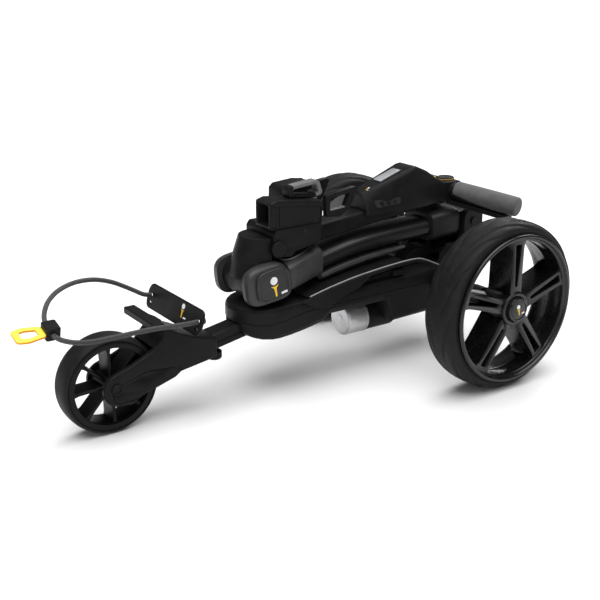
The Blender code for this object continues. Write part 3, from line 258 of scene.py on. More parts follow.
# Looks of single pieces that differ from their slot's
RIM_LOOK = finish_look("rim_black", (0.0048, 0.0048, 0.0051), 0.27, specular=0.42, grain=0.10,
                       rough_span=0.05)
# Pale grey for the pad and arms; round the sleeve's opening it is a painted highlight
PALE_GREY = finish_look("pale_grey", (0.150, 0.150, 0.155), 0.50, specular=0.3, grain=0.2,
                        mottle=0.08)
FRONT_RIM_LOOK = finish_look("front_rim_black", (0.0040, 0.0040, 0.0043), 0.42, specular=0.16,
                             grain=0.15)
# The cast grey made darker: painted shade on the knuckle caps, and the colour of the console's side
# panels
CAP_SHADE_AND_PANEL_GREY = finish_look("cap_grey", (0.0200, 0.0200, 0.0208), 0.40, specular=0.30, grain=0.14,
                       grain_size=0.0004)
MAST_LOOK = finish_look("mast_black", (0.0070, 0.0070, 0.0075), 0.36, specular=0.34, coat=0.04,
                        mottle=0.06, grain=0.06, rough_span=0.03, mottle_size=0.05)
DARK_CASTING = finish_look("dark_casting", (0.0120, 0.0120, 0.0125), 0.44, specular=0.16,
                           grain=0.18, grain_size=0.0004)
# Pale grey for the painted highlight along the battery lid's edges
LID_HIGHLIGHT_GREY = finish_look("trim_grey", (0.26, 0.26, 0.265), 0.34, specular=0.4, mottle=0.06,
                        grain=0.08)
DARK_PRINT = finish_look("dark_panel", (0.0050, 0.0050, 0.0056), 0.30, specular=0.3, grain=0.05)
WHITE_PRINT = finish_look("white_print", (0.78, 0.78, 0.78), 0.45, mottle=0.04, grain=0.05)
YELLOW_PRINT = finish_look("yellow_print", (0.86, 0.52, 0.03), 0.45, mottle=0.06, grain=0.05)
DIAL_BAND = finish_look("dial_band", (0.46, 0.25, 0.030), 0.42, mottle=0.08, grain=0.08)
ORANGE_EDGE = finish_look("orange_edge", (0.80, 0.30, 0.015), 0.45, mottle=0.06, grain=0.08)

# Every CAD node gets a finish by its slot; most are then replaced by a detailed piece
SLOT_OF = {}
for cad_name, cad in frame["nodes"].items():
    SLOT_OF[cad_name] = cad.material_slots[0].material.name.split(".")[0]
    for place in cad.material_slots:
        place.material = LOOKS[SLOT_OF[cad_name]]


# ------------------------ mesh helpers
def make(name, bm, look=LOOKS["satin_black"], smooth=38.0):
    """Turn a bmesh into an object; edges sharper than `smooth` degrees stay crisp."""
    bmesh.ops.recalc_face_normals(bm, faces=bm.faces)
    mesh = bpy.data.meshes.new(name)
    bm.to_mesh(mesh)
    bm.free()
    mesh.materials.append(look)
    mesh.shade_smooth()
    mesh.set_sharp_from_angle(angle=radians(smooth))
    return add(name, mesh)


def apply_modifiers(obj):
    """Bake the modifiers into the mesh."""
    depsgraph = bpy.context.evaluated_depsgraph_get()
    mesh = bpy.data.meshes.new_from_object(obj.evaluated_get(depsgraph))
    old = obj.data
    obj.modifiers.clear()
    obj.data = mesh
    bpy.data.meshes.remove(old)


def rounded(obj, width, segments=3, angle=32.0, clamp=True):
    """Round off the edges sharper than `angle` degrees, keeping flat faces flat to the eye."""
    mod = obj.modifiers.new("edges", "BEVEL")
    mod.width = width
    mod.segments = segments
    mod.limit_method = "ANGLE"
    mod.angle_limit = radians(angle)
    mod.use_clamp_overlap = clamp
    mod.harden_normals = True
    mod.miter_outer = "MITER_ARC"
    obj.data.shade_smooth()
    apply_modifiers(obj)
    return obj


def discard(obj):
    """Remove an object and its mesh."""
    data = obj.data
    bpy.data.objects.remove(obj)
    bpy.data.meshes.remove(data)


def combine(obj, operation, *tools):
    """Join or cut with other solids, which are used up."""
    for tool in tools:
        mod = obj.modifiers.new("combine", "BOOLEAN")
        mod.operation = operation
        mod.object = tool
        mod.solver = "EXACT"
        apply_modifiers(obj)
        discard(tool)
    return obj


def join(obj, *others):
    """Put other solids into this one's mesh, left overlapping; they are used up."""
    bm = bmesh.new()
    bm.from_mesh(obj.data)
    for other in others:
        bm.from_mesh(other.data)
        discard(other)
    bm.to_mesh(obj.data)
    bm.free()
    return obj


def cut(obj, bm):
    """Cut a shape out of a solid."""
    return combine(obj, "DIFFERENCE", make("cut", bm))


def groove(obj, outline, low, high, width=0.0016):
    """Cut a narrow groove along a closed (y, z) outline, from x low to x high."""
    centre = middle(outline)
    inner = [tuple(Vector(p) + (centre - Vector(p)).normalized() * width) for p in outline]
    rings = [[at(x, y, z) for y, z in line]
             for x, line in ((low, outline), (high, outline), (high, inner), (low, inner))]
    return cut(obj, skin(rings, closed=True))


def crease(obj, angle=34.0):
    """Shade smooth, with edges sharper than `angle` degrees crisp."""
    obj.data.shade_smooth()
    obj.data.set_sharp_from_angle(angle=radians(angle))
    return obj


def skin(rings, closed=False, bm=None):
    """Skin over a row of rings with a cap at each end; closed joins the last to the first."""
    bm = bm or bmesh.new()
    loops = [[bm.verts.new(p) for p in ring] for ring in rings]
    pairs = list(zip(loops, loops[1:]))
    if closed:
        pairs.append((loops[-1], loops[0]))
    for low, high in pairs:
        for i in range(len(low)):
            j = (i + 1) % len(low)
            bm.faces.new((low[i], low[j], high[j], high[i]))
    if not closed:
        bm.faces.new(loops[0])
        bm.faces.new(loops[-1])
    return bm


def prism(outline, axis, low, high):
    """Extrude an outline: (y, z) along X or (x, z) along Y."""
    return skin([[at(h, u, v) if axis == "X" else at(u, h, v) for u, v in outline]
                 for h in (low, high)])


def spin_point(axis, centre, h, r, angle):
    """Point at a height along an axis, and a radius and angle round it."""
    u, v = r * cos(angle), r * sin(angle)
    offset = {"X": (h, u, v), "Y": (u, h, v), "Z": (u, v, h)}[axis]
    return Vector(centre) + Vector(offset)


def lathe(profile, axis, centre, segments=72, shape=None):
    """Turn a closed (height, radius) profile; `shape` gives how far a point is lowered."""
    bm = bmesh.new()
    columns = []
    for index, (h, r) in enumerate(profile):
        if r <= 0:
            columns.append([bm.verts.new(spin_point(axis, centre, h, 0, 0))])
            continue
        ring = []
        for i in range(segments):
            angle = 2 * pi * i / segments
            drop = shape(index, h, r, angle) if shape else 0.0
            ring.append(bm.verts.new(spin_point(axis, centre, h, r - drop, angle)))
        columns.append(ring)
    for k in range(len(columns)):
        a, b = columns[k], columns[(k + 1) % len(columns)]
        if len(a) == 1 and len(b) == 1:
            continue
        for i in range(segments):
            j = (i + 1) % segments
            if len(a) == 1:
                bm.faces.new((a[0], b[i], b[j]))
            elif len(b) == 1:
                bm.faces.new((a[i], a[j], b[0]))
            else:
                bm.faces.new((a[i], a[j], b[j], b[i]))
    return bm


def bore(radius, half_length, centre, segments=32):
    """Round cutter along X, for a bolt, a pin or a wheel's room."""
    return lathe([(-half_length, 0), (-half_length, radius), (half_length, radius),
                  (half_length, 0)], "X", centre, segments)


def middle(outline):
    """Centre of an outline's points."""
    return sum((Vector(p) for p in outline), Vector((0, 0))) / len(outline)


def arc(centre, radius, start, end, steps):
    """Points on an arc between two angles in degrees."""
    return [(centre[0] + radius * cos(radians(start + (end - start) * i / steps)),
             centre[1] + radius * sin(radians(start + (end - start) * i / steps)))
            for i in range(steps + 1)]


def smooth_path(points, steps):
    """Smooth curve through points of any dimension."""
    pts = [Vector(p) for p in points]
    pts = [2 * pts[0] - pts[1]] + pts + [2 * pts[-1] - pts[-2]]
    result = []
    for a, b, c, d in zip(pts, pts[1:], pts[2:], pts[3:]):
        for k in range(steps):
            t = k / steps
            result.append(0.5 * (2 * b + (c - a) * t + (2 * a - 5 * b + 4 * c - d) * t * t
                                 + (3 * b - a - 3 * c + d) * t ** 3))
    return result + [pts[-2]]


def rounded_outline(points, radius, steps=5):
    """Round an outline's corners."""
    result = []
    count = len(points)
    for i in range(count):
        before, corner, after = (Vector(points[(i + k) % count]) for k in (-1, 0, 1))
        reach = min(radius, 0.45 * (before - corner).length, 0.45 * (after - corner).length)
        start = corner + (before - corner).normalized() * reach
        end = corner + (after - corner).normalized() * reach
        for k in range(steps + 1):
            t = k / steps
            result.append(tuple(start * (1 - t) ** 2 + corner * 2 * t * (1 - t) + end * t * t))
    return result


def squared(value, power):
    """A sine or cosine pushed outwards: 2 leaves a circle, more makes it squarer."""
    return copysign(abs(value) ** (2 / power), value)


def oval(half_w, half_h, power, count):
    """Points round an oval that a higher power makes squarer."""
    return [(half_w * squared(cos(2 * pi * i / count), power),
             half_h * squared(sin(2 * pi * i / count), power)) for i in range(count)]


def tube_section(y, z, half_w, half_h, power, count):
    """Oval ring across the trolley's length."""
    return [at(u, y, z + v) for u, v in oval(half_w, half_h, power, count)]


def rectangle(half_w, half_h):
    """Corners of a rectangle about the origin."""
    return [(-half_w, -half_h), (half_w, -half_h), (half_w, half_h), (-half_w, half_h)]


def round_outline(y, z, half_w, half_h=None):
    """Circle or ellipse as an outline."""
    half_h = half_h or half_w
    return [(y + half_w * cos(radians(a)), z + half_h * sin(radians(a)))
            for a in range(0, 360, 15)]


def piece(obj, body, *cad_nodes, slot="satin_black"):
    """Ride on a body and stand for CAD nodes, which are hidden; `slot` is not used."""
    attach(obj, body)
    if cad_nodes:
        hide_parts(*cad_nodes)
    return obj


MERGE, FLAT, REFINED_ANGLE = 0.00005, radians(0.6), 30.0


def refined(cad_name, width, segments, look=None, splits=()):
    """A CAD node's own shape with its edges rounded off; `splits` are planes to part faces at."""
    cad = frame["nodes"][cad_name]
    slot = SLOT_OF[cad_name]
    bm = bmesh.new()
    bm.from_mesh(cad.data)
    bmesh.ops.remove_doubles(bm, verts=bm.verts, dist=MERGE)
    bmesh.ops.dissolve_limit(bm, angle_limit=FLAT, verts=bm.verts, edges=bm.edges)
    for point, normal in splits:
        bmesh.ops.bisect_plane(bm, geom=bm.verts[:] + bm.edges[:] + bm.faces[:], plane_co=point,
                               plane_no=normal)
    obj = make(f"{cad_name}_shape", bm, look or LOOKS[slot])
    rounded(obj, width, segments, REFINED_ANGLE, False)
    return piece(obj, cad["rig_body"], cad_name, slot=slot)


# ------------------------ generic mark: ball on a tee
BALL = round_outline(0.0, 0.42, 0.30)
TEE = [(-0.34, 0.06), (-0.10, -0.16), (-0.06, -0.80), (0.06, -0.80), (0.10, -0.16), (0.34, 0.06),
       (0.0, -0.02)]
DASH = [(0.44, -0.80), (0.96, -0.80), (0.96, -0.64), (0.44, -0.64)]
MARK_SUNK, MARK_RAISED = -0.0006, 0.00025


def add_mark(name, centre, right, up, size, body, slot="satin_black"):
    """Small printed mark of a ball on a tee, raised a hair above its surface."""
    right, up = Vector(right).normalized(), Vector(up).normalized()
    out = right.cross(up)
    bm = bmesh.new()
    for index, outline in ((0, BALL), (1, TEE), (0, DASH)):
        before = len(bm.faces)
        skin([[Vector(centre) + size * (right * u + up * v) + out * h for u, v in outline]
              for h in (MARK_SUNK, MARK_RAISED)], bm=bm)
        for face in list(bm.faces)[before:]:
            face.material_index = index
    obj = make(name, bm, WHITE_PRINT)
    obj.data.materials.append(YELLOW_PRINT)
    return piece(obj, body, slot=slot)


# ------------------------ elastic cord
CORD_R = 0.004
CORD_HOLE_R = CORD_R + 0.0004
CORD_ROUTE = [
    (-0.0800, -0.5200, 0.1820), (-0.0830, -0.5340, 0.1850), (-0.0960, -0.5540, 0.1960),
    (-0.1060, -0.5800, 0.2090), (-0.1060, -0.6120, 0.2190), (-0.0970, -0.6480, 0.2230),
    (-0.0800, -0.6820, 0.2210), (-0.0590, -0.7080, 0.2140), (-0.0330, -0.7260, 0.2040),
    (-0.0090, -0.7330, 0.1964), (0.0250, -0.7330, 0.1866), (0.0460, -0.7190, 0.1820),
    (0.0610, -0.6950, 0.1810), (0.0690, -0.6600, 0.1830), (0.0740, -0.6200, 0.1850),
    (0.0780, -0.5800, 0.1850), (0.0800, -0.5500, 0.1830), (0.0800, -0.5200, 0.1820),
]
cord_line = smooth_path([at(*p) for p in CORD_ROUTE], 6)


def tube_along(name, path, radius, look, count=16):
    """Round tube along a path, with UVs in turns and radii for a woven pattern."""
    bm = bmesh.new()
    layer = bm.loops.layers.uv.new("UVMap")
    rings, lengths, travelled = [], [], 0.0
    side = Vector((0, 0, 1)).cross(path[1] - path[0]).normalized()
    for i, p in enumerate(path):
        ahead = (path[min(i + 1, len(path) - 1)] - path[max(i - 1, 0)]).normalized()
        side = (side - ahead * side.dot(ahead)).normalized()
        up = ahead.cross(side)
        rings.append([bm.verts.new(p + radius * (side * cos(2 * pi * k / count)
                                                 + up * sin(2 * pi * k / count)))
                      for k in range(count)])
        if i:
            travelled += (p - path[i - 1]).length
        lengths.append(travelled)
    for i in range(len(path) - 1):
        for k in range(count):
            j = (k + 1) % count
            face = bm.faces.new((rings[i][k], rings[i][j], rings[i + 1][j], rings[i + 1][k]))
            around = (k / count, (k + 1) / count, (k + 1) / count, k / count)
            along = (lengths[i], lengths[i], lengths[i + 1], lengths[i + 1])
            for loop, u, v in zip(face.loops, around, along):
                loop[layer].uv = (u * 2.0, v / (pi * radius))
    bm.faces.new(rings[0])
    bm.faces.new(rings[-1])
    return make(name, bm, look), travelled


bungee, CORD_LENGTH = tube_along("bungee_loop", cord_line, CORD_R, LOOKS["cord_black"])
piece(bungee, "chassis", "bungee_cord", slot="cord_black")

CLAMP = at(0.0080, -0.7330, 0.1915)
CLAMP_TURN = (Matrix.Translation(CLAMP) @ Matrix.Rotation(radians(16.0), 4, "Y")
              @ Matrix.Translation(-CLAMP))


def clamp_local(x, y, z):
    """Point measured from the clamp's centre, before the clamp is turned."""
    return CLAMP + Vector((x, y, z))


clamp_outline = rounded_outline(rectangle(0.0135, 0.0115), 0.0035)
clamp_rings = []
for z, inset in ((-0.0105, 0.0012), (-0.0093, 0.0), (-0.0010, 0.0), (-0.0006, 0.0005),
                 (0.0006, 0.0005), (0.0010, 0.0), (0.0093, 0.0), (0.0105, 0.0012)):
    clamp_rings.append([clamp_local(x - copysign(inset, x), y - copysign(inset, y), z)
                        for x, y in clamp_outline])
clamp = make("cord_clamp", skin(clamp_rings))
cut(clamp, bore(CORD_HOLE_R, 0.02, CLAMP, 24))
clamp.data.transform(CLAMP_TURN)
crease(clamp)
piece(clamp, "chassis", "bungee_clamp")

TAG = [(-0.0130, -0.0105), (0.0130, -0.0105), (0.0190, -0.0400), (0.0150, -0.0580),
       (-0.0150, -0.0580), (-0.0190, -0.0400)]
TAG_CENTRE_Y = -0.035
TAG_PROFILE = ((1.0, -0.0014), (0.95, -0.0025), (0.60, -0.0025), (0.55, -0.0014),
               (0.55, 0.0014), (0.60, 0.0025), (0.95, 0.0025), (1.0, 0.0014))


def tag_ring(grow, z):
    """Tag outline scaled about its centre, at a height through its thickness."""
    return [clamp_local(x * grow, (y - TAG_CENTRE_Y) * grow + TAG_CENTRE_Y, z)
            for x, y in rounded_outline(TAG, 0.0055, 6)]


tag = make("finger_tag", skin([tag_ring(grow, z) for grow, z in TAG_PROFILE], closed=True),
           LOOKS["tag_yellow"], smooth=60)
tag.data.materials.append(ORANGE_EDGE)
for face in tag.data.polygons:
    if face.normal.z < 0.5:
        face.material_index = 1
tag.data.transform(CLAMP_TURN)
piece(tag, "chassis", "pull_tag", slot="tag_yellow")

tuple(cord_line[0])
[tuple(p) for p in cord_line]

# ------------------------ rear wheels
TYRE_HALF = 0.0355
TYRE_MID = 0.2225
TYRE_SHOULDER_R = 0.1345
TYRE_CROWN = REAR_R - TYRE_SHOULDER_R
BEAD = [(-0.0346, 0.1335), (-0.0346, 0.1322), (-0.0352, 0.1314), (-0.0345, 0.1291)]
TREAD_SEGMENTS = 480
TREAD_STEPS = 48
LEAVES = 12
LEAF_DEPTH, LEAF_LENGTH, LEAF_WALL = 0.0030, 0.0520, 0.0060
LEAF_SWEEP = 1.7                        # leaves that one edge crosses on its way to the shoulder
CENTRE_BAND, SHOULDER = 0.10, 0.985     # where the leaves start and end, in half widths
CENTRE_FADE, SHOULDER_FADE = 0.14, 0.05


def tyre_profile():
    """Closed section: rounded tread, sidewall ring, bead."""
    points = []
    for i in range(TREAD_STEPS + 1):
        t = pi * i / TREAD_STEPS
        points.append((TYRE_HALF * squared(cos(t), 3.0),
                       TYRE_SHOULDER_R + TYRE_CROWN * abs(sin(t)) ** (2 / 2.5)))
    return points + BEAD + [(-h, r) for h, r in reversed(BEAD)]


def tread_drop(index, h, r, angle):
    """Long overlapping leaves swept round either side of a plain centre band."""
    reach = abs(h / TYRE_HALF)
    if index > TREAD_STEPS or not CENTRE_BAND <= reach <= SHOULDER:
        return 0.0
    pitch = 2 * pi / LEAVES
    shift = 0.0 if h > 0 else 0.5
    line = angle / pitch - shift + LEAF_SWEEP * (reach - CENTRE_BAND)
    gap = (line - floor(line)) * pitch * REAR_R
    depth = LEAF_DEPTH * max(0.0, 1 - gap / LEAF_LENGTH) ** 1.5 * min(1.0, gap / LEAF_WALL)
    return (depth * min(1.0, (reach - CENTRE_BAND) / CENTRE_FADE)
            * min(1.0, (SHOULDER - reach) / SHOULDER_FADE))


def spoke_solid(outline, low, high):
    """Extrude a (radius, width) outline that stands straight up from the axle."""
    return skin([[Vector((x, AXLE.y + w, AXLE.z + r)) for r, w in outline]
                 for x in (low, high)])


SPOKES = 5
SPOKE_BACK, SPOKE_FACE = 0.2060, 0.2590
SPOKE = [(0.0260, -0.0138), (0.0600, -0.0132), (0.1040, -0.0136), (0.1130, -0.0146),
         (0.1185, -0.0170), (0.1222, -0.0220), (0.1222, 0.0220), (0.1185, 0.0170),
         (0.1130, 0.0146), (0.1040, 0.0136), (0.0600, 0.0132), (0.0260, 0.0138)]
SLOT = [(0.0400, -0.0026), (0.0400, 0.0026), (0.1080, 0.0064), (0.1140, 0.0072),
        (0.1140, -0.0072), (0.1080, -0.0064)]
RIM = [(0.1895, 0.1235), (0.1890, 0.1250), (0.1890, 0.1275), (0.1905, 0.1287), (0.2578, 0.1287),
       (0.2582, 0.1300), (0.2592, 0.1310), (0.2615, 0.1314), (0.2640, 0.1310), (0.2655, 0.1298),
       (0.2660, 0.1280), (0.2658, 0.1262), (0.2646, 0.1250), (0.2622, 0.1244), (0.2612, 0.1236),
       (0.2608, 0.1222), (0.2598, 0.1208), (0.2570, 0.1198), (0.2480, 0.1190), (0.2330, 0.1192),
       (0.2320, 0.1180), (0.2290, 0.1180), (0.2280, 0.1194), (0.2000, 0.1212), (0.1950, 0.1222)]
HUB = [(0.2040, 0.0070), (0.2040, 0.0290), (0.2050, 0.0300), (0.2590, 0.0300), (0.2612, 0.0292),
       (0.2620, 0.0275), (0.2620, 0.0240), (0.2612, 0.0226), (0.2600, 0.0222), (0.2500, 0.0222),
       (0.2500, 0.0070)]
WHEEL_CAP = [(0.2545, 0.0), (0.2545, 0.0214), (0.2655, 0.0214), (0.2672, 0.0205),
             (0.2680, 0.0188), (0.2676, 0.0176), (0.2668, 0.0172), (0.2668, 0.0164),
             (0.2676, 0.0160), (0.2684, 0.0120), (0.2687, 0.0)]


def mirrored(profile, side):
    """A profile of the left side, turned over for the right."""
    return [(side * h, r) for h, r in profile]


def turned_copies(obj, count, centre):
    """Repeat a mesh evenly round an X axis through a centre; the first is used up."""
    bm = bmesh.new()
    for k in range(count):
        start = len(bm.verts)
        bm.from_mesh(obj.data)
        bm.verts.ensure_lookup_table()
        turn = Matrix.Rotation(2 * pi * k / count, 4, "X")
        bmesh.ops.transform(bm, verts=bm.verts[start:], matrix=Matrix.Translation(centre) @ turn
                            @ Matrix.Translation(-centre))
    discard(obj)
    return bm


for side_name, side in SIDES:
    tyre = make(f"rear_tyre_{side_name}_tread",
                lathe(tyre_profile(), "X", AXLE + Vector((side * TYRE_MID, 0, 0)),
                      TREAD_SEGMENTS, tread_drop), LOOKS["tyre_rubber"], smooth=28)
    piece(tyre, "drive_train", f"rear_tyre_{side_name}", slot="tyre_rubber")

    rim = make(f"rear_rim_{side_name}_spoked", lathe(mirrored(RIM, side), "X", AXLE, 120), RIM_LOOK)
    spoke = make("spoke", spoke_solid(rounded_outline(SPOKE, 0.004, 3), side * SPOKE_BACK,
                                      side * SPOKE_FACE), RIM_LOOK)
    combine(spoke, "DIFFERENCE", make("slot", spoke_solid(
        rounded_outline(SLOT, 0.003, 4), side * (SPOKE_BACK - 0.0110),
        side * (SPOKE_FACE + 0.0110)), RIM_LOOK))
    rounded(spoke, 0.0014, 2, 50.0, False)
    join(rim, make("spokes", turned_copies(spoke, SPOKES, AXLE), RIM_LOOK),
         make("hub", lathe(mirrored(HUB, side), "X", AXLE, 72), RIM_LOOK))
    crease(rim, 36)
    piece(rim, "drive_train", f"rear_rim_{side_name}")

    cap = make(f"wheel_cap_{side_name}", lathe(mirrored(WHEEL_CAP, side), "X", AXLE, 72),
               LOOKS["gloss_black"], smooth=30)
    piece(cap, f"hub_{side_name}", f"wheel_button_{side_name}", slot="gloss_black")
    add_mark(f"wheel_cap_mark_{side_name}", AXLE + Vector((side * 0.26855, 0, 0.0005)),
             (0, side, 0.20), (0, -0.20 * side, 1), 0.0125, f"hub_{side_name}", "gloss_black")

# ------------------------ front wheel and fork
FRONT_HALF = 0.0237
FRONT_SHOULDER_R = 0.0752
FRONT_TYRE_STEPS = 24
BLADES = 8
BLADE_START = radians(92)
BOLT_BORE = 0.0053
front_tyre_profile = []
for i in range(FRONT_TYRE_STEPS + 1):
    t = pi * i / FRONT_TYRE_STEPS
    front_tyre_profile.append((FRONT_HALF * squared(cos(t), 2.6), FRONT_SHOULDER_R
                               + (FRONT_R - FRONT_SHOULDER_R) * abs(sin(t)) ** (2 / 2.2)))
front_tyre_profile += [(-0.0215, 0.0748), (-0.0200, 0.0702), (0.0200, 0.0702), (0.0215, 0.0748)]
front_tyre = make("front_tyre_ribbed", lathe(front_tyre_profile, "X", FRONT_AXLE, 180),
                  LOOKS["tyre_rubber"], smooth=24)
piece(front_tyre, "front_wheel", "front_tyre", slot="tyre_rubber")

FRONT_RIM = [(-0.0236, 0.0648), (-0.0238, 0.0665), (-0.0238, 0.0722), (-0.0230, 0.0738),
             (-0.0217, 0.0742), (-0.0203, 0.0695), (0.0203, 0.0695), (0.0217, 0.0742),
             (0.0230, 0.0738), (0.0238, 0.0722), (0.0238, 0.0665), (0.0236, 0.0648),
             (0.0222, 0.0640), (0.0000, 0.0648), (-0.0222, 0.0640)]
front_rim = make("front_rim_bladed", lathe(FRONT_RIM, "X", FRONT_AXLE, 96), FRONT_RIM_LOOK)
BLADE = [(0.0100, -0.0032), (0.0300, -0.0024), (0.0560, -0.0026), (0.0668, -0.0052),
         (0.0668, 0.0052), (0.0560, 0.0026), (0.0300, 0.0024), (0.0100, 0.0032)]
BLADE_PROFILE = ((-0.0196, 0.6), (-0.0184, 1.0), (0.0184, 1.0), (0.0196, 0.6))
along = Vector((0, cos(BLADE_START), sin(BLADE_START)))
across = Vector((0, -sin(BLADE_START), cos(BLADE_START)))
blade = make("blade", skin([[FRONT_AXLE + along * r + across * w * thin + Vector((x, 0, 0))
                             for r, w in BLADE] for x, thin in BLADE_PROFILE]), FRONT_RIM_LOOK)
blades = make("blades", turned_copies(blade, BLADES, FRONT_AXLE), FRONT_RIM_LOOK)
front_hub = make("front_hub", lathe([
    (-0.0250, 0.0), (-0.0250, 0.0140), (-0.0240, 0.0150), (0.0240, 0.0150), (0.0250, 0.0140),
    (0.0250, 0.0)], "X", FRONT_AXLE, 48), RIM_LOOK)
combine(front_rim, "UNION", blades, front_hub)
combine(front_rim, "DIFFERENCE", make("bore", bore(BOLT_BORE, 0.04, FRONT_AXLE), RIM_LOOK))
crease(front_rim)
piece(front_rim, "front_wheel", "front_rim")

front_bolt = make("front_axle_bolt_cap", lathe([
    (-0.0438, 0.0), (-0.0438, 0.0070), (-0.0430, 0.0082), (-0.0384, 0.0085), (-0.0384, 0.0050),
    (0.0384, 0.0050), (0.0384, 0.0090), (0.0400, 0.0090), (0.0408, 0.0084), (0.0408, 0.0060),
    (0.0392, 0.0055), (0.0392, 0.0)], "X", FRONT_AXLE, 40))
piece(front_bolt, "chassis", "front_axle_bolt", slot="steel")

FORK = (arc((-0.638, 0.0785), 0.0280, 110, 275, 20)
        + [(-0.6180, 0.0490), (-0.5920, 0.0630), (-0.5760, 0.0665), (-0.5400, 0.0770),
           (-0.5290, 0.0845), (-0.4880, 0.0905), (-0.4620, 0.0945), (-0.4620, 0.1290),
           (-0.5030, 0.1400), (-0.5480, 0.1610), (-0.5560, 0.1640), (-0.5620, 0.1500),
           (-0.5790, 0.1310), (-0.6180, 0.1140)])
FORK_HALF = 0.0375
GROOVE_DEPTH = 0.0023
fork = make("fork_casting", prism(FORK, "X", -FORK_HALF, FORK_HALF))
rounded(fork, 0.0040, 4, 40.0)
FORK_PANEL = [(-0.6480, 0.0560), (-0.6120, 0.0560), (-0.5700, 0.0700), (-0.5300, 0.0860),
              (-0.5300, 0.0950), (-0.5900, 0.1010), (-0.6330, 0.0880), (-0.6540, 0.0740)]
for side in (1, -1):
    low, high = sorted((side * (FORK_HALF - GROOVE_DEPTH), side * (FORK_HALF + 0.0025)))
    groove(fork, rounded_outline(FORK_PANEL, 0.009), low, high)
cut(fork, bore(FRONT_R + 0.005, 0.0280, FRONT_AXLE, 96))
cut(fork, bore(BOLT_BORE, 0.0500, FRONT_AXLE))
TUBE_HALF_W, TUBE_HALF_H, TUBE_CHAMFER = 0.019, 0.0140, 0.003
TUBE_GROOVE = 0.0015
TUBE_MID_Y, TUBE_MID_Z, TUBE_SLOPE = -0.4025, 0.122, 0.174
TUBE_GAP = 0.0003


def lower_tube_section(y, grow):
    """Section of the sloping lower frame tube, with a shallow groove down each side."""
    w, h, c, g = TUBE_HALF_W + grow, TUBE_HALF_H + grow, TUBE_CHAMFER, TUBE_GROOVE - grow
    half = [(w - c, -h), (w, -h + c), (w, -0.003), (w - g, -0.0015), (w - g, 0.0015),
            (w, 0.003), (w, h - c), (w - c, h)]
    z_mid = TUBE_MID_Z + TUBE_SLOPE * (y - TUBE_MID_Y)
    return [at(x, y, z_mid + z) for x, z in half + [(-x, -z) for x, z in half]]


cut(fork, skin([lower_tube_section(y, TUBE_GAP) for y in (-0.5005, -0.3800)]))
crease(fork)
piece(fork, "chassis", "fork")
refined("lower_tube", 0.0010, 2)

# ------------------------ lower bag support
PLATE_HALF = 0.092
PLATE_CORNER = 0.012
PLATE_LOW, PLATE_HIGH = 0.1600, 0.2000
PLATE_Y, PLATE_LEAN = -0.5275, 0.0135
PLATE_STEPS = 64
PLATE_PROFILE = ((0.0, 0.0008), (0.02, 0.0), (0.98, 0.0), (1.0, 0.0008), (1.0, 0.0032),
                 (0.98, 0.0040), (0.02, 0.0040), (0.0, 0.0032))
CORD_END = at(0.0800, -0.5105, 0.1820)


def plate_point(x, up, depth):
    """Point on the leaning plate: `up` is 0 to 1 up its height, `depth` through it."""
    over = max(0.0, abs(x) - (PLATE_HALF - PLATE_CORNER))
    corner = PLATE_CORNER - sqrt(max(0.0, PLATE_CORNER ** 2 - over ** 2))
    low_z, high_z = PLATE_LOW + corner, PLATE_HIGH - corner
    z = low_z + (high_z - low_z) * up
    lean = (z - PLATE_LOW) / (PLATE_HIGH - PLATE_LOW)
    return at(x, PLATE_Y + PLATE_LEAN * lean + depth, z)


plate_rings = [[plate_point(PLATE_HALF * (-1 + 2 * i / PLATE_STEPS), up, depth)
                for up, depth in PLATE_PROFILE] for i in range(PLATE_STEPS + 1)]
plate = make("bag_plate", skin(plate_rings))
for side in (-1, 1):
    for z, half_x, half_z in ((CORD_END.z, 0.0044, 0.0044), (0.1700, 0.0060, 0.0024)):
        cut(plate, prism(round_outline(side * CORD_END.x, z, half_x, half_z), "Y", -0.560,
                         -0.500))
crease(plate)
piece(plate, "chassis", "lower_bag_bracket")
add_mark("bag_plate_mark", at(0.0280, -0.5190, 0.1860), (1, 0, 0), (0, 0.32, 0.95), 0.0150,
         "chassis")
refined("bag_foot_bar", 0.0008, 2)

# Knots of the cord behind the plate
for side_name, side in SIDES:
    knot = make(f"cord_end_{side_name}", lathe([
        (-0.0040, 0.0), (-0.0040, 0.0050), (-0.0030, 0.0058), (0.0010, 0.0058), (0.0022, 0.0050),
        (0.0025, 0.0)], "Y", CORD_END * Vector((side, 1, 1)), 32), LOOKS["cord_black"])
    piece(knot, "chassis", slot="cord_black")

# ------------------------ sleeve, knuckle caps, collar
CHEEK_HY, CHEEK_HZ = 0.0425, 0.0340
CHEEK_LEAN = radians(7)


def leaning_oval(y, z, half_y, half_z, power):
    """Oval outline that leans with the knuckle."""
    return [(y + u * cos(CHEEK_LEAN) - v * sin(CHEEK_LEAN),
             z + u * sin(CHEEK_LEAN) + v * cos(CHEEK_LEAN))
            for u, v in oval(half_y, half_z, power, 72)]


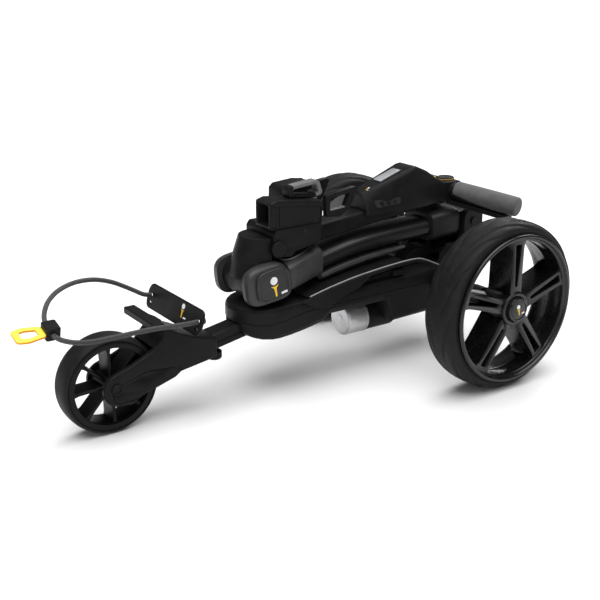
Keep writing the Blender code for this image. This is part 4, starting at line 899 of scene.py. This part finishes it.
MAST_LINE = [(-0.2950, 0.2085), (-0.2480, 0.2185), (-0.2150, 0.2255), (-0.1800, 0.2315),
             (-0.1400, 0.2360), (-0.0950, 0.2385), (-0.0500, 0.2400), (0.0030, 0.2405)]
MAST_HW, MAST_HH = 0.0350, 0.0192
SLEEVE = [(-0.3300, 0.2100, 0.0585, 0.0262), (-0.3270, 0.2105, 0.0592, 0.0268),
          (-0.3130, 0.2130, 0.0580, 0.0270), (-0.2940, 0.2160, 0.0530, 0.0270),
          (-0.2740, 0.2190, 0.0470, 0.0272), (-0.2540, 0.2212, 0.0421, 0.0275),
          (-0.2500, 0.2214, 0.0412, 0.0275), (-0.2485, 0.2215, 0.0402, 0.0265)]
SLEEVE_FRONT = -0.3180
MAST_GAP = 0.0003
KNUCKLE_BORE = 0.0063
sleeve = make("mast_sleeve_casting", skin([tube_section(*ring, 4.2, 72) for ring in SLEEVE]),
              LOOKS["satin_grey"])
FLANK = [(0.0300, 0.0), (0.0480, 0.0), (0.0530, 0.0008), (0.0562, 0.0028), (0.0583, 0.0058),
         (0.0592, 0.0095)]
for side in (-1, 1):
    rings = [[at(side * x, min(y, SLEEVE_FRONT), z) for y, z in
              leaning_oval(KNUCKLE_Y, KNUCKLE.z, CHEEK_HY - inset, CHEEK_HZ - inset, 3.2)]
             for x, inset in FLANK]
    combine(sleeve, "UNION", make("flank", skin(rings), LOOKS["satin_grey"]))
sleeve_cuts = (
    skin([tube_section(y, z, MAST_HW + MAST_GAP, MAST_HH + MAST_GAP, 2.4, 20) for y, z in
          ((-0.2956, 0.2084), (-0.2480, 0.2185), (-0.2150, 0.2255))]),
    bore(KNUCKLE_BORE, 0.08, KNUCKLE),
    bore(0.0480, 0.0402, KNUCKLE, 96),
)
for room in sleeve_cuts:
    combine(sleeve, "DIFFERENCE", make("room", room, LOOKS["satin_grey"]))
crease(sleeve, 40)
piece(sleeve, "mast", "mast_sleeve", slot="satin_grey")

CAP_Y, CAP_Z = KNUCKLE_Y + 0.0060, KNUCKLE.z + 0.0010
CAP_HY, CAP_HZ = 0.0340, 0.0280
CAP_DISH = ((0.0586, 0.0008), (0.0636, 0.0), (0.0650, 0.0008), (0.0657, 0.0024),
            (0.0656, 0.0040), (0.0645, 0.0048), (0.0642, 0.0056), (0.0645, 0.0068),
            (0.0648, 0.0150))
# The caps are a darker copy of the sleeve's grey: painted shade, as caps and sleeve are one
# material
for side_name, side in SIDES:
    rings = [[at(side * x, y, z) for y, z in
              leaning_oval(CAP_Y, CAP_Z, CAP_HY - inset, CAP_HZ - inset, 3.6)]
             for x, inset in CAP_DISH]
    cap = make(f"knuckle_cap_{side_name}_dished", skin(rings), CAP_SHADE_AND_PANEL_GREY)
    piece(cap, "mast", f"knuckle_cap_{side_name}", slot="satin_grey")
    add_mark(f"knuckle_mark_{side_name}", at(side * 0.0648, CAP_Y, KNUCKLE.z),
             (0, side, 0.20), (0, -side * 0.20, 1.0), 0.0230, "mast", "satin_grey")

# Pale tube round the opening on top of the sleeve: a painted highlight along its rim
LIP_HIGHLIGHT = [(0.0152, -0.3279, 0.2385), (0.0341, -0.3273, 0.2388), (0.0395, -0.3124, 0.2402),
       (0.0300, -0.2833, 0.2434), (0.0192, -0.2598, 0.2470)]
for side_name, side in SIDES:
    lip_highlight, _ = tube_along(f"sleeve_lip_highlight_{side_name}",
                        smooth_path([at(side * x, y, z) for x, y, z in LIP_HIGHLIGHT], 6), 0.0014,
                        PALE_GREY, 10)
    piece(lip_highlight, "mast", slot="satin_grey")

COLLAR = [(0.0034, 0.2420, 0.0395, 0.0245), (0.0042, 0.2422, 0.0412, 0.0258),
          (0.0060, 0.2425, 0.0420, 0.0265), (0.0640, 0.2458, 0.0430, 0.0268),
          (0.0680, 0.2460, 0.0424, 0.0262), (0.0700, 0.2460, 0.0405, 0.0245)]
collar = make("mast_collar_casting", skin([tube_section(*ring, 4.5, 64) for ring in COLLAR]),
              DARK_CASTING)
tongue_outline = (arc((HINGE_Y, HINGE.z), 0.0190, -110, 110, 28)
                  + [(0.0600, 0.2640), (0.0600, 0.2280)])
combine(collar, "UNION", make("tongue", prism(tongue_outline, "X", -0.0350, 0.0350),
                              LOOKS["satin_grey"]))
combine(collar, "DIFFERENCE", make("bore", bore(BOLT_BORE, 0.06, HINGE), LOOKS["satin_grey"]))
crease(collar)
piece(collar, "mast", "mast_collar", slot="satin_grey")

# ------------------------ mast tube and underpanel
MAST_WALL = 0.0022
mast_path = [tuple(p) for p in smooth_path(MAST_LINE, 3)]
mast_rings = [tube_section(*p, MAST_HW, MAST_HH, 2.4, 56) for p in mast_path]
mast_inner = [tube_section(*p, MAST_HW - MAST_WALL, MAST_HH - MAST_WALL, 2.4, 56)
              for p in reversed(mast_path)]
mast = make("mast_tube_extrusion", skin(mast_rings + mast_inner, closed=True), MAST_LOOK)
piece(mast, "mast", "mast_tube", slot="gloss_black")
refined("mast_underpanel", 0.0030, 3)

# ------------------------ grips, bar and dial
BAR = at(0, 0.066, 0.3070)
GRIP_BACK, GRIP_DOWN = 16.0, 6.0        # degrees each side of the bar sweeps back and droops
GRIP_ROOT = 0.0255
GRIP_STEPS = 24
for side_name, side in SIDES:
    profile = [(0.0318, 0.0128), (0.0318, 0.0152), (0.0328, 0.0162), (0.0350, 0.0166)]
    profile += [(0.0350 + 0.1200 * k / GRIP_STEPS,
                 0.0166 + 0.0013 * sin(pi / 2 * k / GRIP_STEPS))
                for k in range(1, GRIP_STEPS + 1)]
    profile += [(0.1557, 0.0173), (0.1562, 0.0179), (0.1585, 0.0176), (0.1600, 0.0163),
                (0.1608, 0.0140), (0.1611, 0.0110), (0.1611, 0.0), (0.1550, 0.0),
                (0.1550, 0.0128)]
    grip_mesh = lathe(mirrored(profile, side), "X", BAR, 72)
    root = Matrix.Translation(BAR + Vector((side * GRIP_ROOT, 0, 0)))
    turn = (root @ Matrix.Rotation(radians(side * GRIP_BACK), 4, "Z")
            @ Matrix.Rotation(radians(side * GRIP_DOWN), 4, "Y") @ root.inverted())
    grip_mesh.transform(turn)
    grip = make(f"grip_{side_name}_sleeve", grip_mesh, LOOKS["grip_rubber"])
    piece(grip, "shaft", f"grip_{side_name}", slot="grip_rubber")
    # The cradle cups the grip from below and tapers off outwards
    cradle_rings = []
    for k in range(GRIP_STEPS + 1):
        edge = -12.0 - 62.0 * k / GRIP_STEPS
        section = (arc((0, 0), 0.0192, edge, -180 - edge, 24)
                   + arc((0, 0), 0.0181, -180 - edge, edge, 24))
        cradle_rings.append([BAR + Vector((side * (0.0290 + 0.1050 * k / GRIP_STEPS), y, z))
                             for y, z in section])
    cradle_mesh = skin(cradle_rings)
    cradle_mesh.transform(turn)
    cradle = make(f"grip_cradle_{side_name}", cradle_mesh)
    piece(cradle, "shaft")

DIAL = Vector((BAR.x, BAR.y, 0))        # its profiles are given in heights above the floor
DIAL_FLUTES = 30
dial_profile = [(0.3222, 0.0), (0.3222, 0.0162), (0.3230, 0.0170), (0.3250, 0.0167),
                (0.3262, 0.0158), (0.3267, 0.0146), (0.3265, 0.0134), (0.3260, 0.0128),
                (0.3260, 0.0)]


def dial_flutes(index, h, r, angle):
    """Thumb flutes round the dial."""
    return 0.0005 * (0.5 + 0.5 * cos(DIAL_FLUTES * angle)) if index in (2, 3) else 0.0


dial = make("speed_dial_fluted", lathe(dial_profile, "Z", DIAL, 120, dial_flutes))
piece(dial, "dial", "speed_dial")
ring = make("dial_ring", lathe([(0.3228, 0.0160), (0.3228, 0.0171), (0.3240, 0.0172),
                                (0.3244, 0.0168), (0.3244, 0.0160)], "Z", DIAL, 96), DIAL_BAND)
piece(ring, "dial", slot="tag_yellow")

# ------------------------ motor
WORM_BELOW_AXLE = 0.060
WORM_AXIS = at(0, 0, REAR_R - WORM_BELOW_AXLE)
can = make("motor_can_drawn", lathe([
    (-0.1810, 0.0), (-0.1810, 0.0080), (-0.1802, 0.0085), (-0.1802, 0.0245), (-0.1798, 0.0262),
    (-0.1786, 0.0286), (-0.1766, 0.0300), (-0.1402, 0.0300), (-0.1402, 0.0275),
    (-0.1766, 0.0265), (-0.1766, 0.0)], "Y", WORM_AXIS, 72), LOOKS["motor_silver"])
piece(can, "chassis", "motor_can", slot="motor_silver")
cover = make("motor_cover", lathe([
    (-0.1400, 0.0), (-0.1400, 0.0296), (-0.1392, 0.0304), (-0.1345, 0.0304), (-0.1335, 0.0292),
    (-0.1060, 0.0286), (-0.1060, 0.0)], "Y", WORM_AXIS, 72))
piece(cover, "chassis")

# ------------------------ battery lid edges: painted highlight
LID_EDGE = [(-0.2940, 0.1735), (-0.2500, 0.1828), (-0.1900, 0.1922), (-0.1100, 0.1992),
            (-0.0600, 0.2004), (-0.0360, 0.1952), (0.0000, 0.1788)]
# A pale tube along each lid edge paints the highlight where the edge catches the light
for side_name, side in SIDES:
    lid_highlight, _ = tube_along(f"lid_edge_highlight_{side_name}",
                         smooth_path([at(side * 0.0650, y, z + 0.0010) for y, z in LID_EDGE], 6),
                         0.0013, LID_HIGHLIGHT_GREY, 10)
    piece(lid_highlight, "chassis")

# ------------------------ console with panels and badge
console = refined("console_shell", 0.0016, 3)
bpy.context.view_layer.update()
console_tree = BVHTree.FromObject(console, bpy.context.evaluated_depsgraph_get())


PATCH_SUNK = -0.0006
PATCH_RINGS = (0.25, 0.5, 0.75, 1.0)    # a patch's rings, as shares of its outline


def console_side(side, y, z):
    """The x of the console's side wall, felt for from outside at a length and a height."""
    return console_tree.ray_cast(at(side * 0.1, y, z), Vector((-side, 0, 0)))[0].x


def side_patch(name, outline, side, raised, look):
    """Thin patch that follows the console's side wall inside a (y, z) outline."""
    centre = middle(outline)
    rings = []
    for lift, grows in ((PATCH_SUNK, PATCH_RINGS), (raised, reversed(PATCH_RINGS))):
        for grow in grows:
            line = [centre + (Vector(p) - centre) * grow for p in outline]
            rings.append([at(console_side(side, y, z) + side * lift, y, z) for y, z in line])
    return piece(make(name, skin(rings), look), "shaft")


PANEL = rounded_outline([(-0.1270, 0.2995), (-0.0740, 0.3005), (-0.0720, 0.3125),
                         (-0.1290, 0.3115)], 0.0030)
PANEL_RAISED, DOT_RAISED = 0.0009, 0.0015
DOT_Y, DOT_Z, DOT_PITCH, DOT_R = -0.1150, 0.3060, 0.0150, 0.0042
for side_name, side in SIDES:
    side_patch(f"console_panel_{side_name}", PANEL, side, PANEL_RAISED, CAP_SHADE_AND_PANEL_GREY)
    for k in range(3):
        side_patch(f"console_dot_{side_name}_{k + 1}",
                   round_outline(DOT_Y + DOT_PITCH * k, DOT_Z, DOT_R), side, DOT_RAISED,
                   DARK_PRINT)

BADGE = at(0, -0.0780, 0.3471)
BADGE_TILT = Matrix.Translation(BADGE) @ Matrix.Rotation(radians(17.9), 4, "X")
for name, half_x, half_y, low, high, corner, look, cad_nodes in (
        ("badge_frame", 0.0128, 0.0270, -0.0008, 0.0007, 0.0062, LOOKS["gloss_black"], ()),
        ("badge_face", 0.0110, 0.0245, -0.0012, 0.0011, 0.0048, LOOKS["badge_silver"],
         ("badge_plate",))):
    outline = rounded_outline(rectangle(half_x, half_y), corner)
    rings = [[BADGE_TILT @ Vector((x * grow, y * grow, h)) for x, y in outline]
             for h, grow in ((low, 1.0), (high - 0.0003, 1.0), (high, 0.98))]
    piece(make(name, skin(rings), look), "shaft", *cad_nodes, slot="badge_silver")
add_mark("console_mark", at(0.0095, -0.1290, 0.3306), (1, 0, 0), (0, 0.944, 0.33), 0.0062,
         "shaft")

# ------------------------ bag support screws
SCREW_R = 0.0036
SCREWS = ((0.0480, -0.2700, 0.3020), (0.0440, -0.2880, 0.2850))
for side_name, side in SIDES:
    for index, (x, y, z) in enumerate(SCREWS):
        screw = make(f"support_screw_{side_name}_{index + 1}", lathe(mirrored([
            (x - 0.002, 0.0), (x - 0.002, SCREW_R), (x + 0.0005, SCREW_R),
            (x + 0.0010, SCREW_R - 0.0006), (x + 0.0010, 0.0018), (x - 0.0010, 0.0016),
            (x - 0.0010, 0.0)], side), "X", at(0, y, z), 24), DARK_PRINT)
        piece(screw, "shaft")

# ------------------------ CAD shapes with rounded edges
ROUNDED_NODES = (
    ("chassis_tub", 0.0014, 3), ("chassis_cover", 0.0012, 3), ("battery_lid", 0.0012, 3),
    ("battery_pack", 0.0010, 2), ("bag_support_saddle", 0.0030, 3),
    ("bag_support_base", 0.0016, 2), ("hinge_bracket", 0.0012, 2), ("knuckle_tongue", 0.0010, 2),
    ("shaft_tube", 0.0008, 2), ("handle_bar", 0.0010, 2), ("mast_latch", 0.0008, 2),
    ("gearbox_case", 0.0008, 2), ("axle_tube_left", 0.0008, 2), ("axle_tube_right", 0.0008, 2),
    ("tracking_knob", 0.0008, 2), ("support_bolt", 0.0008, 2), ("mast_hinge_pin", 0.0006, 2),
    ("display_screen", 0.0003, 2), ("power_button", 0.0004, 2), ("motor_end_ring", 0.0006, 2),
)
# Painted black, whatever their slots
OTHER_LOOK = {"mast_hinge_pin": LOOKS["satin_black"], "support_bolt": LOOKS["satin_black"]}
for cad_name, width, segments in ROUNDED_NODES:
    refined(cad_name, width, segments, OTHER_LOOK.get(cad_name))

# Two grooved panels on the pod's left face
pod = refined("bag_support_pod", 0.0016, 3)
for outline in ([(-0.3590, 0.3000), (-0.3500, 0.3000), (-0.3500, 0.3370), (-0.3590, 0.3385)],
                [(-0.3455, 0.3000), (-0.2600, 0.3000), (-0.2600, 0.3250), (-0.3455, 0.3360)]):
    groove(pod, rounded_outline(outline, 0.0030), 0.0462, 0.0500)
crease(pod)

# The pad is pale along its top and rear bars only
PAD_FRONT, PAD_REAR, PAD_TOP = -0.3060, -0.2600, 0.3495
PAD_SPLITS = ((at(0, PAD_FRONT, 0), (0, 1, 0)), (at(0, PAD_REAR, 0), (0, 1, 0)),
              (at(0, 0, PAD_TOP), (0, 0, 1)))
pad = refined("bag_support_pad", 0.0012, 2, PALE_GREY, splits=PAD_SPLITS)
pad.data.materials.append(LOOKS["satin_black"])
for face in pad.data.polygons:
    y, z = face.center.y - AXLE_Y, face.center.z
    if y < PAD_FRONT or (y < PAD_REAR and z < PAD_TOP):
        face.material_index = 1

# The arms carry a pale strip along the floor of their slots
STRIP_TOP, STRIP_FRONT, STRIP_REAR = 0.3220, -0.2400, -0.2000
for side_name, side in SIDES:
    arm = refined(f"bag_arm_{side_name}", 0.0010, 2)
    arm.data.materials.append(PALE_GREY)
    for face in arm.data.polygons:
        y, z = face.center.y - AXLE_Y, face.center.z
        if face.normal.z > 0.6 and z < STRIP_TOP and STRIP_FRONT < y < STRIP_REAR:
            face.material_index = 1

# ------------------------ floor
floor_look = finish_look("studio_floor", (0.86, 0.86, 0.86), 0.90, specular=0.05, mottle=0.01,
                         mottle_size=0.5, grain=0.02, grain_size=0.01)
floor_mesh = bmesh.new()
floor_mesh.faces.new([floor_mesh.verts.new((x, y, 0.0))
                      for x, y in rectangle(FLOOR_HALF, FLOOR_HALF)])
studio_floor = make("floor", floor_mesh, floor_look)
